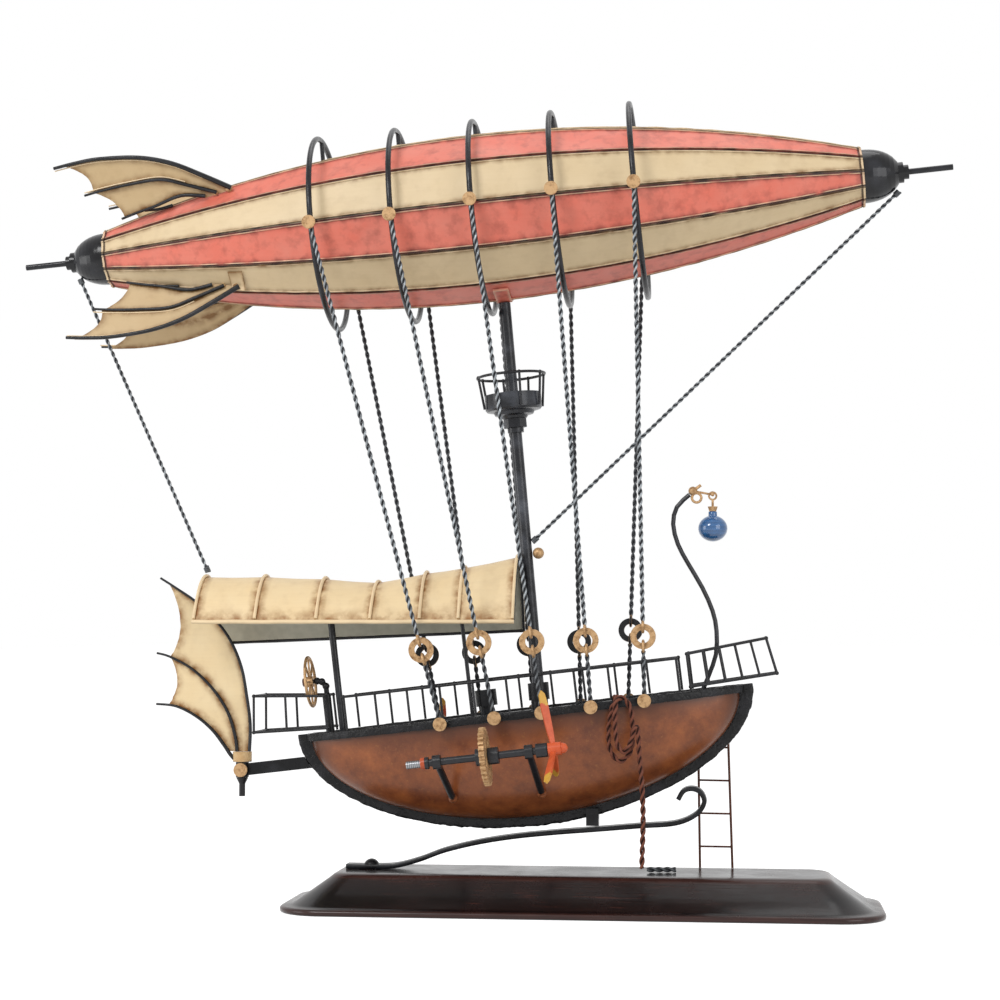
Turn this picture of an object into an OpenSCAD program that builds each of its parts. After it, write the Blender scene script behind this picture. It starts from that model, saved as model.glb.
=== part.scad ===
/* [Stand] */

// Length of the base over its rolled rim
base_l = 382; // [340:1:430]
// Width of the base over its rolled rim
base_w = 116; // [100:1:140]
// Height of the base's flat top above the floor
base_h = 24; // [18:0.5:30]
// Sheet thickness of the base
base_t = 1.5; // [1:0.1:2.5]
// Width of the support strap
strap_w = 12; // [8:0.5:16]
// Thickness of the support strap
strap_t = 3; // [2.5:0.1:3.5]
// Shank diameter of the strap's bolt
bolt_d = 5; // [4:0.5:6]

/* [Hull] */

// Half the length of the hull at the deck
hull_l = 140; // [132:1:148]
// Half the beam of the hull at the deck
hull_b = 36; // [32:0.5:40]
// Depth of the hull's sheet below the deck
hull_d = 67; // [62:0.5:68]
// Sheet thickness of the hull shells
hull_t = 0.8; // [0.6:0.1:1.2]
// Fullness of the hull's lines
hull_n = 1.92; // [1.8:0.02:2.3]
// Bow-up angle of the hull
hull_pitch = 6.7; // [6.2:0.1:7.2]
// Depth of the keel band's outer edge below the deck
keel_d = 74; // [72:0.5:74.5]
// Thickness of the keel band
keel_t = 3; // [2:0.1:4]
// Thickness of the deck plate
deck_t = 1.2; // [0.8:0.1:2]
// Wire of the railings and galleries
rail_wire = 1.8; // [1.4:0.1:2.2]
// Height of the railings above the deck
rail_h = 23; // [19:0.5:26]

/* [Envelope] */

// Length of the gores from cap to cap
envelope_l = 501; // [470:1:540]
// Radius of the envelope at its seams
envelope_r = 55.5; // [52:0.5:57.5]
// Radius of the gores where they meet the caps
envelope_end = 18.5; // [17:0.25:21]
// Height of the envelope's middle above the floor
envelope_z = 449; // [440:1:460]
// Bow-up angle of the envelope and the mast
envelope_pitch = 5; // [4.5:0.1:5.5]
// Sheet thickness of the gores
gore_t = 0.8; // [0.6:0.1:1.2]
// Radius of the hoops to the middle of their wire
hoop_r = 63; // [62:0.5:66]
// Wire of the hoops
hoop_wire = 3.6; // [3:0.1:4.2]
// Spacing of the five hoops
hoop_pitch = 51.5; // [48:0.5:55]
// Diameter of the end rods
end_rod_d = 3.8; // [3:0.1:4.6]

/* [Rigging] */

// Diameter over the twisted wire of the stays
stay_d = 3.6; // [3.2:0.1:4.2]
// Single wire of an eye in a stay
eye_wire = 1.8; // [1.5:0.1:2]
// Outside diameter of the ring washers
washer_d = 16; // [15:0.5:18]
// Hole of the ring washers
washer_hole = 8.4; // [8:0.1:9]
// Thickness of the ring washers
washer_t = 1.6; // [1.2:0.1:1.8]
// Height of the washers along the stays, above the gunwale
washer_up = 44; // [38:0.5:50]
// Diameter of the brass button heads
button_d = 8.6; // [7.5:0.1:9.5]
// Thickness over the mooring rope
rope_d = 3.6; // [3:0.1:3.8]

/* [Mast and awning] */

// Diameter of the mast
mast_d = 7.6; // [7:0.1:8.4]
// Diameter of the crow's nest
nest_d = 37; // [33:0.5:40]
// Half the width of the awning
awning_b = 34; // [30:0.5:38]
// Height of the awning's near eave above the floor
awning_eave = 185; // [181:0.5:188]
// Diameter of the awning's battens
batten_d = 2.6; // [2:0.1:3]

/* [Moving pieces] */

// Radius of the propellers
propeller_r = 37; // [33:0.5:38]
// Space between a propeller's circle and the hull
propeller_gap = 4; // [3:0.5:8]
// Diameter of the propeller shafts
shaft_d = 4.6; // [4:0.1:5]
// Outside diameter of the gears
gear_d = 36; // [32:0.5:40]
// Number of teeth on a gear
gear_teeth = 30; // [24:1:40]
// Diameter of the helm's wheel
helm_d = 34; // [30:0.5:36]
// Diameter of the rudder's stock
stock_d = 4; // [3.4:0.1:4.6]
// Width of the lantern's ball
lantern_d = 18.8; // [16:0.2:21]

/* [Clearances] */

// Radial clearance of a running fit
running_fit = 0.05; // [0.02:0.01:0.08]
// Gap where one piece sits on another
seat_gap = 0.15; // [0.1:0.01:0.25]
// End play between turning and fixed pieces
end_play = 0.4; // [0.35:0.05:0.8]

/* [Hidden] */

$fn = 48;

near = -1;
far = 1;

base_x = 67;
deck_at = [29, 0, 126];
envelope_at = [0, 0, envelope_z];
rim_h = 4;
base_top_l = base_l - 66;
base_top_w = base_w - 52;

cream = [0.88, 0.8, 0.62];
red = [0.85, 0.42, 0.35];
black = [0.17, 0.17, 0.19];
brass = [0.8, 0.66, 0.42];
brown = [0.5, 0.28, 0.17];
orange = [0.88, 0.4, 0.23];

function unit(v) = v / norm(v);
function mix(a, b, f) = a + (b - a) * f;
function place(p, at, a) = at + [p.x * cos(a) - p.z * sin(a), p.y, p.x * sin(a) + p.z * cos(a)];
function on_hull(p) = place(p, deck_at, hull_pitch);
function on_envelope(p) = place(p, envelope_at, envelope_pitch);
function to_hull(p) = place(p - deck_at, [0, 0, 0], -hull_pitch);

// Share of the full width that the hull's lines leave at a station
function fullness(f) = pow(max(0, 1 - pow(abs(f), hull_n)), 1 / hull_n);
function half_beam(x) = hull_b * fullness(x / hull_l);
function keel_edge(x) = keel_d * fullness(x / keel_l);

function gore_r(x) =
    envelope_end + (envelope_r - envelope_end) * (1 - pow(abs(2 * x / envelope_l), 2));

keel_l = hull_l + 9;
band_in = hull_t + 0.2;
band_t = 2.2;
band_out = band_in + band_t;
band_top = 1.5;
band_low = -3.5;
rail_out = band_in + band_t / 2;
function band_y(x, off) = (hull_b + off) * fullness(x / (hull_l + off));

mast_x = 12;
mast_foot = -to_hull(on_envelope([mast_x, 0, 0])).z / cos(hull_pitch - envelope_pitch);

eye_l = stay_d + 0.4;
eye_d = 6.2;
shank_d = 2.6;
shank_l = eye_l + 2 * seat_gap;
button_t = 1.6;
eye_r = 3.4;
limb_r = (washer_d + washer_hole) / 4;
// Stations of the stays along the gunwale, starboard and then port
stay_x = [[-49, -14, 16, 47, 80.5], [-60, -32, 3, 34.5, 66.5]];
// How far each washer sits off the even height, starboard and then port
washer_off = [[4.5, 4.5, 1, -2, -3.5], [1, -1, 0, -2, 2]];
// How far below the envelope's axis each stay leaves its hoop
stay_drop = [4.5, 5, 1, 0, 1.5];
stay_z = -1;

function hoop_x(k) = 2.5 + (k - 2) * hoop_pitch;
function beam_of(side) = side < 0 ? 0 : 1;
function washer_at(k, side) = washer_up + washer_off[beam_of(side)][k];
function stay_top(k, side) =
    let (r = hoop_r + hoop_wire / 2 + seat_gap + shank_l / 2, drop = stay_drop[k])
    on_envelope([hoop_x(k), side * sqrt(r * r - drop * drop), -drop]);
function stay_foot(k, side) =
    let (x = stay_x[beam_of(side)][k])
    on_hull([x, side * (band_y(x, band_out) + 0.3 + shank_l / 2), stay_z]);

shaft_y = hull_b + 2 + propeller_r + propeller_gap;
shaft_z = -22.6;
screw_mid = -21;
gear_x = -18;
gear_t = 3.4;
bearing_x = [-48, 9];
bearing_l = 5;

rudder_x = -156.3;
rudder_hub_z = 92.5;
sheet_t = 0.8;
rib_d = 2.6;

helm_at = [-137, 0, 35];
hook_at = [152, 0, 266];

// Along a smooth line through hand-placed points
function curve_at(p, i, f) =
    let (
        a = p[max(i - 1, 0)],
        b = p[i],
        c = p[i + 1],
        d = p[min(i + 2, len(p) - 1)]
    )
    0.5 * (2 * b + (c - a) * f + (2 * a - 5 * b + 4 * c - d) * f * f + (3 * b - a - 3 * c + d) * f * f * f);
function curve(p, steps) = concat(
    [for (i = [0:len(p) - 2]) for (k = [0:steps - 1]) curve_at(p, i, k / steps)],
    [p[len(p) - 1]]
);
function heading(p, i) = unit(p[min(i + 1, len(p) - 1)] - p[max(i - 1, 0)]);

// A straight round wire from one point to another
module rod(a, b, d) {
    v = unit(b - a);
    translate(a)
        rotate([asin(-v.y), atan2(v.x, v.z), 0])
            cylinder(h = norm(b - a), d = d);
}

// Side directions along a path, carried from point to point without twist
function carried(s, t) = unit(s - t * (s * t));
function sides(p, i, s) =
    i == len(p) ? [] : let (n = carried(s, heading(p, i))) concat([n], sides(p, i + 1, n));

// A round wire swept along points
module tube(p, d, n = 8) {
    last = len(p) - 1;
    side = sides(p, 0, abs(heading(p, 0).y) < 0.7 ? [0, 1, 0] : [1, 0, 0]);
    rings = [
        for (i = [0:last])
            let (w = cross(side[i], heading(p, i)))
            for (k = [0:n - 1]) p[i] + d / 2 * (cos(360 * k / n) * side[i] + sin(360 * k / n) * w)
    ];
    walls = [
        for (i = [0:last - 1])
            for (k = [0:n - 1])
                let (a = i * n + k, b = i * n + (k + 1) % n, c = b + n, e = a + n)
                for (face = [[a, b, c], [a, c, e]]) face
    ];
    polyhedron(rings, concat(
        walls,
        [[for (k = [n - 1:-1:0]) k]],
        [[for (k = [0:n - 1]) last * n + k]]
    ));
}

// A thin sheet between two grids of points, the first grid on its outside
module sheet(a, b) {
    m = len(a);
    n = len(a[0]);
    z = m * n;
    points = concat([for (row = a) for (p = row) p], [for (row = b) for (p = row) p]);
    quads = concat(
        [for (i = [0:m - 2]) for (j = [0:n - 2])
            [i * n + j, i * n + j + 1, (i + 1) * n + j + 1, (i + 1) * n + j]],
        [for (i = [0:m - 2]) for (j = [0:n - 2])
            [z + i * n + j, z + (i + 1) * n + j, z + (i + 1) * n + j + 1, z + i * n + j + 1]],
        [for (j = [0:n - 2]) [j + 1, j, z + j, z + j + 1]],
        [for (j = [0:n - 2]) [z - n + j, z - n + j + 1, 2 * z - n + j + 1, 2 * z - n + j]],
        [for (i = [0:m - 2]) [i * n, (i + 1) * n, z + (i + 1) * n, z + i * n]],
        [for (i = [0:m - 2])
            [(i + 2) * n - 1, (i + 1) * n - 1, z + (i + 1) * n - 1, z + (i + 2) * n - 1]]
    );
    polyhedron(points, [for (q = quads) for (f = [[q[0], q[1], q[2]], [q[0], q[2], q[3]]]) f]);
}

module ship() {
    translate(deck_at)
        rotate([0, -hull_pitch, 0])
            children();
}

module aloft() {
    translate(envelope_at)
        rotate([0, -envelope_pitch, 0])
            children();
}

// Flat outline in X and Z, thick along Y about the middle plane
module upright(t) {
    translate([0, t / 2, 0])
        rotate([90, 0, 0])
            linear_extrude(t)
                children();
}

module rounded(l, w, r) {
    square([l - 2 * r, w], center = true);
    square([l, w - 2 * r], center = true);
    for (x = [-1, 1])
        for (y = [-1, 1])
            translate([x * (l / 2 - r), y * (w / 2 - r)])
                circle(r);
}

module torus(r, d) {
    rotate_extrude()
        translate([r, 0])
            circle(d = d);
}

// Corner posts of one level of the tray's sloping wall
module tray_level(l, w, r, z) {
    for (x = [-1, 1])
        for (y = [-1, 1])
            translate([x * (l / 2 - r), y * (w / 2 - r), z])
                cylinder(h = 0.01, r = r, $fn = 32);
}

module tray_form(inset, drop) {
    hull() {
        tray_level(base_l - 6 - 2 * inset, base_w - 6 - 2 * inset, 27 - inset, 1 - drop * 2);
        tray_level(base_top_l + 4 - 2 * inset, base_top_w + 4 - 2 * inset, 15 - inset, base_h - 3 - drop);
        tray_level(base_top_l - 4 - 2 * inset, base_top_w - 4 - 2 * inset, 11 - inset, base_h - 0.01 - drop);
    }
}

module base_tray() {
    color(black)
        translate([base_x, 0, 0])
            difference() {
                union() {
                    tray_form(0, 0);
                    linear_extrude(rim_h)
                        rounded(base_l, base_w, 30);
                }
                tray_form(base_t, base_t);
                translate([strap_foot.x - base_x, 0, base_h - 5])
                    cylinder(h = 10, d = bolt_d + 0.4);
            }
}

foot_in = 21;
foot_half = 16;
strap_foot = [base_x - base_top_l / 2 + foot_in, base_h + seat_gap + strap_t / 2];
strap_rise = strap_foot.x + foot_half;
strap_line = curve([
    [strap_foot.x - foot_half, strap_foot.y],
    strap_foot,
    [strap_rise, strap_foot.y + 0.7],
    [mix(strap_rise, 0, 0.3), strap_foot.y + 5],
    [mix(strap_rise, 0, 0.6), strap_foot.y + 11],
    [0, 42],
    [24, 46],
    [52, 49],
    [76, 51],
    [104, 53.5],
    [127, 55.5],
    [140, 61],
    [145.5, 68.5],
    [143.5, 75],
    [138, 77.5],
    [132.5, 76],
    [129, 70.5]
], 4);

module support_strap() {
    last = len(strap_line) - 1;
    edge = [
        for (i = [0:last])
            let (t = heading(strap_line, i))
            [-t.y, t.x] * strap_t / 2
    ];
    color(black)
        difference() {
            upright(strap_w)
                polygon(concat(
                    [for (i = [0:last]) strap_line[i] + edge[i]],
                    [for (i = [last:-1:0]) strap_line[i] - edge[i]]
                ));
            translate([strap_foot.x, 0, base_h - 5])
                cylinder(h = 15, d = bolt_d + 0.4);
        }
}

module strap_bolt() {
    top = base_h + seat_gap + strap_t + seat_gap;
    color(black)
        translate([strap_foot.x, 0, top]) {
            intersection() {
                translate([0, 0, -2])
                    sphere(d = 10.4);
                cylinder(h = 10, d = 12);
            }
            translate([0, 0, base_h - base_t - 7 - top])
                cylinder(h = top - base_h + base_t + 7.5, d = bolt_d);
        }
}

module strap_nut() {
    color(black)
        translate([strap_foot.x, 0, base_h - base_t - seat_gap - 4.5])
            difference() {
                cylinder(h = 4.5, d = 9.2, $fn = 6);
                translate([0, 0, -1])
                    cylinder(h = 7, d = bolt_d + 0.06);
            }
}

// The clamp stands on the strap and takes the keel's lower edge in its slot
clamp_x = 74;
clamp_low = 53.3;
clamp_at = (clamp_x - deck_at.x) / cos(hull_pitch) - keel_d * tan(hull_pitch);
clamp_floor = on_hull([clamp_at - 5, 0, -keel_edge(clamp_at - 5)]).z - 0.4;

module keel_clamp() {
    color(black)
        translate([clamp_x, 0, 0])
            difference() {
                translate([-4, -4.5, clamp_low])
                    cube([8, 9, clamp_floor + 6.6 - clamp_low]);
                translate([-5, -keel_t / 2 - seat_gap, clamp_floor])
                    cube([10, keel_t + 2 * seat_gap, 10]);
            }
}

module base_wire() {
    z = base_h + seat_gap + rope_d / 2;
    color(black)
        rod([109, -4, z], [127, -2, z], rope_d);
}

function hull_point(x, t, side, off) =
    let (
        b = half_beam(x),
        k = keel_t / 2 + seat_gap,
        d = (hull_d - deck_t) * fullness(x / hull_l)
    )
    [
        x,
        side * (k + max(0, b - k) * cos(t) + 2 * pow(sin(2 * t), 2) * b / hull_b + off),
        -deck_t - seat_gap - d * sin(t) - off * sin(t) * 0.6
    ];
function hull_side(side, off) = [
    for (i = [0:24])
        [for (j = [0:8]) hull_point(hull_l * sin(-86 + 172 * i / 24), 90 - 90 * j / 8, side, off)]
];

module hull_starboard() {
    color(brown)
        ship()
            sheet(hull_side(near, hull_t), hull_side(near, 0));
}

module hull_port() {
    color(brown)
        ship()
            sheet(hull_side(far, 0), hull_side(far, hull_t));
}

module keel_band() {
    steps = 40;
    inner_l = hull_l - 1.7;
    inner_d = hull_d - 4;
    outer = [for (i = [0:steps]) let (x = -keel_l * cos(180 * i / steps)) [x, -keel_edge(x)]];
    inner = [
        for (i = [steps:-1:0])
            let (x = -inner_l * cos(180 * i / steps))
            [x, -inner_d * fullness(x / inner_l)]
    ];
    color(black)
        ship()
            upright(keel_t)
                polygon(concat(
                    [[-keel_l, band_top]], outer, [[keel_l, band_top], [inner_l, band_top]],
                    inner, [[-inner_l, band_top]]
                ));
}

function plan(l, b, end) = [
    for (side = [1, -1])
        for (i = [0:28])
            let (x = side * end * cos(180 * i / 28))
            [x, side * b * fullness(x / l)]
];

module deck() {
    color(black)
        ship()
            translate([0, 0, -deck_t])
                linear_extrude(deck_t)
                    polygon(plan(hull_l + hull_t, hull_b + hull_t, hull_l - 3));
}

module gunwale() {
    color(black)
        ship()
            difference() {
                translate([0, 0, band_low])
                    linear_extrude(band_top - band_low)
                        difference() {
                            polygon(plan(hull_l + band_out, hull_b + band_out, (hull_l + band_out) * 0.9995));
                            polygon(plan(hull_l + band_in, hull_b + band_in, (hull_l + band_in) * 0.9995));
                        }
                for (x = [-1, 1])
                    translate([x * hull_l, 0, 0])
                        cube([16, keel_t + 2 * seat_gap, 20], center = true);
            }
}

// Wires that meet stop short of each other inside a bead of solder
solder = 1.4;
short = 0.3;
function toward(a, b) = a + unit(b - a) * short;

module bead(at, d) {
    translate(at)
        sphere(d = d * solder);
}

module wire_through(p, d) {
    for (i = [0:len(p) - 2])
        rod(toward(p[i], p[i + 1]), toward(p[i + 1], p[i]), d);
    for (q = p)
        bead(q, d);
}

post_wire = rail_wire * 0.9;

module side_rail(side) {
    posts = [for (x = [-112:21.5:104]) [x, side * band_y(x, rail_out), rail_h]];
    color(black)
        ship() {
            wire_through(posts, rail_wire);
            for (p = posts)
                rod([p.x, p.y, band_top + seat_gap], p - [0, 0, short], post_wire);
        }
}

module starboard_rail() {
    side_rail(near);
}

module port_rail() {
    side_rail(far);
}

// Bottom and top rails that run out past one end of the hull, with posts
module gallery(fore, feet_x, low, high, b, posts) {
    feet_y = band_y(feet_x, rail_out);
    function low_at(f, side) =
        [fore * mix(feet_x, low.x, f), side * mix(feet_y, b, f), mix(4.2, low.y, f)];
    function high_at(f, side) =
        [fore * mix(feet_x, high.x, f), side * mix(feet_y, b, f), mix(rail_h + 2, high.y, f)];
    color(black)
        ship() {
            wire_through([low_at(0, near), low_at(1, near), low_at(1, far), low_at(0, far)], rail_wire);
            wire_through([high_at(0, near), high_at(1, near), high_at(1, far), high_at(0, far)], rail_wire);
            for (side = [near, far]) {
                rod([fore * feet_x, side * feet_y, band_top + seat_gap], low_at(0, side), post_wire);
                for (f = posts)
                    rod(low_at(f, side), high_at(f, side), post_wire);
            }
        }
}

module stern_gallery() {
    gallery(-1, hull_l - 14, [hull_l + 34, 6.7], [hull_l + 31.5, 30], 18, [0, 0.55, 1]);
}

module bow_gallery() {
    gallery(1, hull_l - 30, [hull_l + 25, 6.2], [hull_l + 21, 29], 13, [0, 0.2, 0.4, 0.6, 0.8, 1]);
}

module mast_socket() {
    color(black)
        aloft()
            translate([mast_x, 0, mast_foot + 0.4])
                difference() {
                    union() {
                        cylinder(h = 17, d = 11);
                        translate([0, 0, 6])
                            cylinder(h = 11, d = 13.6);
                    }
                    translate([0, 0, 2])
                        cylinder(h = 20, d = mast_d + 0.1);
                }
}

module deck_drum() {
    color(black)
        ship()
            translate([-24, 9, seat_gap]) {
                cylinder(h = 16.5, d = 9);
                translate([0, 0, 6])
                    cylinder(h = 10.5, d = 14);
            }
}

module rudder_arm() {
    aft = to_hull([rudder_x, 0, rudder_hub_z]).x;
    z = -17;
    function stern(h) = -keel_l * fullness(h / keel_d) - seat_gap;
    color(black)
        difference() {
            union() {
                ship()
                    upright(3)
                        polygon([
                            [aft, z - 3.9], [stern(z - 3.9), z - 3.9], [stern(z), z],
                            [stern(z + 3.9), z + 3.9], [aft, z + 3.9]
                        ]);
                translate([rudder_x, 0, rudder_hub_z - end_play - 9.6])
                    cylinder(h = 9.6, d = stock_d + 4.6);
            }
            translate([rudder_x, 0, rudder_hub_z - 20])
                cylinder(h = 40, d = stock_d + 2 * running_fit);
        }
}

module rudder_stock() {
    low = rudder_hub_z - 2 * end_play - 9.6;
    color(black)
        translate([rudder_x, 0, 0]) {
            translate([0, 0, 70])
                cylinder(h = rudder_hub_z + 5 - 70, d = stock_d);
            translate([0, 0, rudder_hub_z])
                cylinder(h = 6.5, d = 12.4);
            translate([0, 0, low - 4])
                cylinder(h = 4, d1 = stock_d, d2 = stock_d + 4);
        }
}

rudder_lead = [
    [-151.2, 99.3], [-150.8, 117], [-153.5, 137], [-157, 154.5], [-164, 171],
    [-173.5, 184], [-187.5, 197], [-200, 205.5], [-212, 213]
];
rudder_mid = [
    [-159.4, 99.3], [-161, 110], [-166, 125], [-176, 140], [-190, 153], [-205, 161], [-214, 163.5]
];
rudder_low = [
    [-164.2, 95], [-168, 103], [-176, 113], [-187, 122], [-200.5, 128.5], [-214, 130]
];

module rudder_ribs() {
    y = -sheet_t / 2 - seat_gap - rib_d / 2;
    color(black)
        for (rib = [rudder_lead, rudder_mid, rudder_low])
            tube(curve([for (p = rib) [p.x, y, p.y]], 2), rib_d, 8);
}

module rudder_sheet() {
    color(cream)
        upright(sheet_t)
            polygon(concat(
                curve([for (p = rudder_lead) p], 3),
                curve([[-205, 206], [-201, 190], [-201, 176], [-207, 162]], 3),
                curve([[-206, 158], [-199.5, 146], [-200, 134], [-207, 129.4]], 3),
                curve([for (i = [4:-1:1]) rudder_low[i]], 3),
                [[-163.5, 99.3]]
            ));
}

module helm_post() {
    color(black)
        ship() {
            translate([-127, 0, seat_gap])
                cylinder(h = 25, d = 5);
            wire_through([
                [-127, 0, 25], [-127, 0, 31], [-129.4, 0, 34.2], [helm_at.x + 4.5, 0, helm_at.z]
            ], 3.4);
            translate([helm_at.x - 5.2, 0, helm_at.z])
                rotate([0, 90, 0])
                    cylinder(h = 11, d = 2.6);
        }
}

module helm_wheel() {
    color(black)
        ship()
            translate(helm_at)
                rotate([0, 90, 0])
                    difference() {
                        union() {
                            torus(helm_d / 2 - 1, 2);
                            translate([0, 0, -2])
                                cylinder(h = 4, d = 7);
                            for (k = [0:7])
                                rotate([0, 90, 45 * k])
                                    cylinder(h = helm_d / 2 - 1, d = 1.4);
                        }
                        translate([0, 0, -5])
                            cylinder(h = 10, d = 2.6 + 2 * running_fit);
                    }
}

module helm_nut() {
    color(brown)
        ship()
            translate([helm_at.x - 2 - end_play - 2.6, 0, helm_at.z])
                rotate([0, 90, 0])
                    difference() {
                        cylinder(h = 2.6, d = 5.4, $fn = 6);
                        translate([0, 0, -1])
                            cylinder(h = 5, d = 2.6 + 0.06);
                    }
}

awning_fore = 25.8;
battens = [[-181, 213.5], [-141, 213.5], [-101, 212], [-66, 209.5], [-34, 215.5], [-9, 219], [awning_fore, 226]];
function ridge(x) = lookup(x, battens);
function far_eave(x) = mix(171, 179.5, (x + 181) / (awning_fore + 181));
function awning_point(x, v, off) =
    let (
        eave = v < 0 ? awning_eave : far_eave(x),
        rise = ridge(x) - eave,
        slope = -sign(v) * 2.2 * rise / awning_b * pow(abs(v), 1.2),
        n = unit([0, -slope, 1])
    )
    [x, v * awning_b, eave + rise * (1 - pow(abs(v), 2.2))] + off * n;

module awning_sheet() {
    stations = [
        for (i = [0:5])
            for (f = [0, 0.5])
                mix(battens[i].x, battens[i + 1].x, f)
    ];
    xs = concat(stations, [awning_fore]);
    function face(off) = [for (x = xs) [for (j = [-6:6]) awning_point(x, j / 6, off)]];
    color(cream)
        sheet(face(0), face(-sheet_t));
}

module awning_battens() {
    y = awning_b + seat_gap + 1.5;
    color(cream) {
        rod([-182, -y, awning_eave - 1], [awning_fore + 1, -y, awning_eave - 1], 3);
        rod([-182, y, far_eave(-181) - 1], [awning_fore + 1, y, far_eave(awning_fore) - 1], 3);
        for (b = battens)
            tube([
                for (j = [-7:7]) awning_point(b.x, j / 7 * 0.94, seat_gap + batten_d / 2)
            ], batten_d, 8);
    }
}

// Awning posts stand square to the deck and reach the sheet's underside
module awning_post(x, d) {
    foot = on_hull([x, 0, seat_gap]);
    top_x = foot.x - (215 - foot.z) * tan(hull_pitch);
    l = (ridge(top_x) - sheet_t - seat_gap - d * 0.06 - foot.z) / cos(hull_pitch);
    color(black)
        ship()
            translate([x, 0, seat_gap])
                cylinder(h = l, d = d);
}

module awning_posts() {
    awning_post(-119, 4.4);
    awning_post(-33, 2.6);
}

module mast() {
    color(black)
        aloft()
            translate([mast_x, 0, mast_foot + 2.6])
                cylinder(h = -envelope_r - 2.2 - mast_foot - 2.6, d = mast_d);
}

module mast_saddle() {
    half = 19;
    v = half * tan(15);
    top = -envelope_r - 0.35;
    color(red)
        aloft()
            translate([mast_x - 5, 0, 0])
                rotate([90, 0, 90])
                    linear_extrude(10)
                        polygon([
                            [-half, top + v], [0, top], [half, top + v],
                            [half, top + v - 1.6], [0, top - 1.6], [-half, top + v - 1.6]
                        ]);
}

nest_z = -128;

module nest_tub() {
    r = nest_d / 2;
    color(black)
        aloft()
            translate([mast_x, 0, nest_z])
                rotate_extrude()
                    polygon([
                        [mast_d / 2 + 0.05, -6], [8, -6], [9, -4.4], [12.5, -3.6], [13.5, -1.6], [r - 1, -0.8],
                        [r, 0.4], [r, 10], [r - 1.2, 10], [r - 1.2, 1], [mast_d / 2 + 0.05, 1]
                    ]);
}

module nest_rail() {
    r = nest_d / 2 + 3.5;
    color(black)
        aloft()
            translate([mast_x, 0, nest_z]) {
                translate([0, 0, 22])
                    torus(r, rail_wire);
                for (k = [0:7])
                    rotate([0, 0, 45 * k + 20]) {
                        rod([nest_d / 2 + rail_wire / 2 + seat_gap, 0, 1], [r, 0, 22 - short], post_wire);
                        bead([r, 0, 22], rail_wire);
                    }
            }
}

module nest_nuts() {
    nut_z = nest_z - 6 - seat_gap - 6;
    color(black)
        aloft()
            translate([mast_x, 0, nut_z]) {
                difference() {
                    cylinder(h = 6, d = 15, $fn = 6);
                    translate([0, 0, -1])
                        cylinder(h = 8, d = mast_d + 0.1);
                }
                translate([0, 0, -seat_gap - 3])
                    difference() {
                        cylinder(h = 3, d = mast_d + 3);
                        translate([0, 0, -1])
                            cylinder(h = 5, d = mast_d + 0.1);
                    }
            }
}

module mast_knob() {
    color(brass)
        aloft()
            translate([mast_x + mast_d / 2 + seat_gap + 3.7, 0, -223])
                sphere(d = 7.4);
}

function rim_point(x, phi, off) =
    [x, -(gore_r(x) + off) * cos(phi), (gore_r(x) + off) * sin(phi)];
function gore_face(k, off) = [
    for (i = [0:24])
        let (
            x = envelope_l / 2 * (i / 12 - 1),
            a = rim_point(x, 30 * k, off),
            b = rim_point(x, 30 * k + 30, off)
        )
        [for (f = [0.008, 0.992]) mix(a, b, f)]
];

module gores(first) {
    aloft()
        for (k = [first:2:11])
            sheet(gore_face(k, 0), gore_face(k, -gore_t));
}

module cream_gores() {
    color(cream)
        gores(0);
}

module red_gores() {
    color(red)
        gores(1);
}

cap_r = envelope_end * cos(15) - gore_t - 0.4;
cap_l = 24.6;
cap_face = 22.4;
function cap_at(x) = (cap_r + 0.6) * sqrt(1 - pow(x / cap_l, 2.2));

module end_caps() {
    color(black)
        aloft()
            for (side = [-1, 1])
                translate([side * (envelope_l / 2 + seat_gap), 0, 0])
                    rotate([0, side * 90, 0])
                        difference() {
                            rotate_extrude()
                                polygon(concat(
                                    [[0, -6], [cap_r - 1.4, -6], [cap_r - 1, 0]],
                                    [for (i = [0:8]) [cap_at(cap_face * i / 8), cap_face * i / 8]],
                                    [
                                        [6.7, cap_face], [6.7, cap_face + 3.4], [4.6, cap_face + 3.4],
                                        [4.6, cap_face + 6.8], [0, cap_face + 6.8]
                                    ]
                                ));
                            translate([0, 0, 10])
                                cylinder(h = 30, d = end_rod_d + 0.1);
                        }
}

module end_rods() {
    color(black)
        aloft()
            for (side = [-1, 1])
                translate([side * (envelope_l / 2 + seat_gap + 10.2), 0, 0])
                    rotate([0, side * 90, 0])
                        cylinder(h = 47.3, d = end_rod_d);
}

module hoops() {
    color(black)
        aloft()
            for (k = [0:4])
                translate([hoop_x(k), 0, 0]) {
                    rotate([0, 90, 0])
                        torus(hoop_r, hoop_wire);
                    for (a = [0, 90, 180])
                        rotate([a, 0, 0])
                            translate([0, gore_r(hoop_x(k)) + 0.3, 0])
                                rotate([-90, 0, 0])
                                    cylinder(h = hoop_r - gore_r(hoop_x(k)) - 0.3, d = 2.8);
                }
}

// A brass button with its shank toward the middle
module button(at, side) {
    translate(at)
        rotate([side < 0 ? 90 : -90, 0, 0]) {
            translate([0, 0, -shank_l / 2])
                cylinder(h = shank_l + 0.5, d = shank_d);
            translate([0, 0, shank_l / 2])
                cylinder(h = button_t, d = button_d);
        }
}

module brass_buttons() {
    color(brass) {
        for (side = [near, far])
            for (k = [0:4]) {
                button(stay_top(k, side), side);
                button(stay_foot(k, side), side);
            }
        translate([rudder_x, -stock_d / 2 - 2.3 - seat_gap, rudder_hub_z - end_play - 4.8])
            rotate([90, 0, 0])
                cylinder(h = 1.6, d = 9);
    }
}

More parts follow.
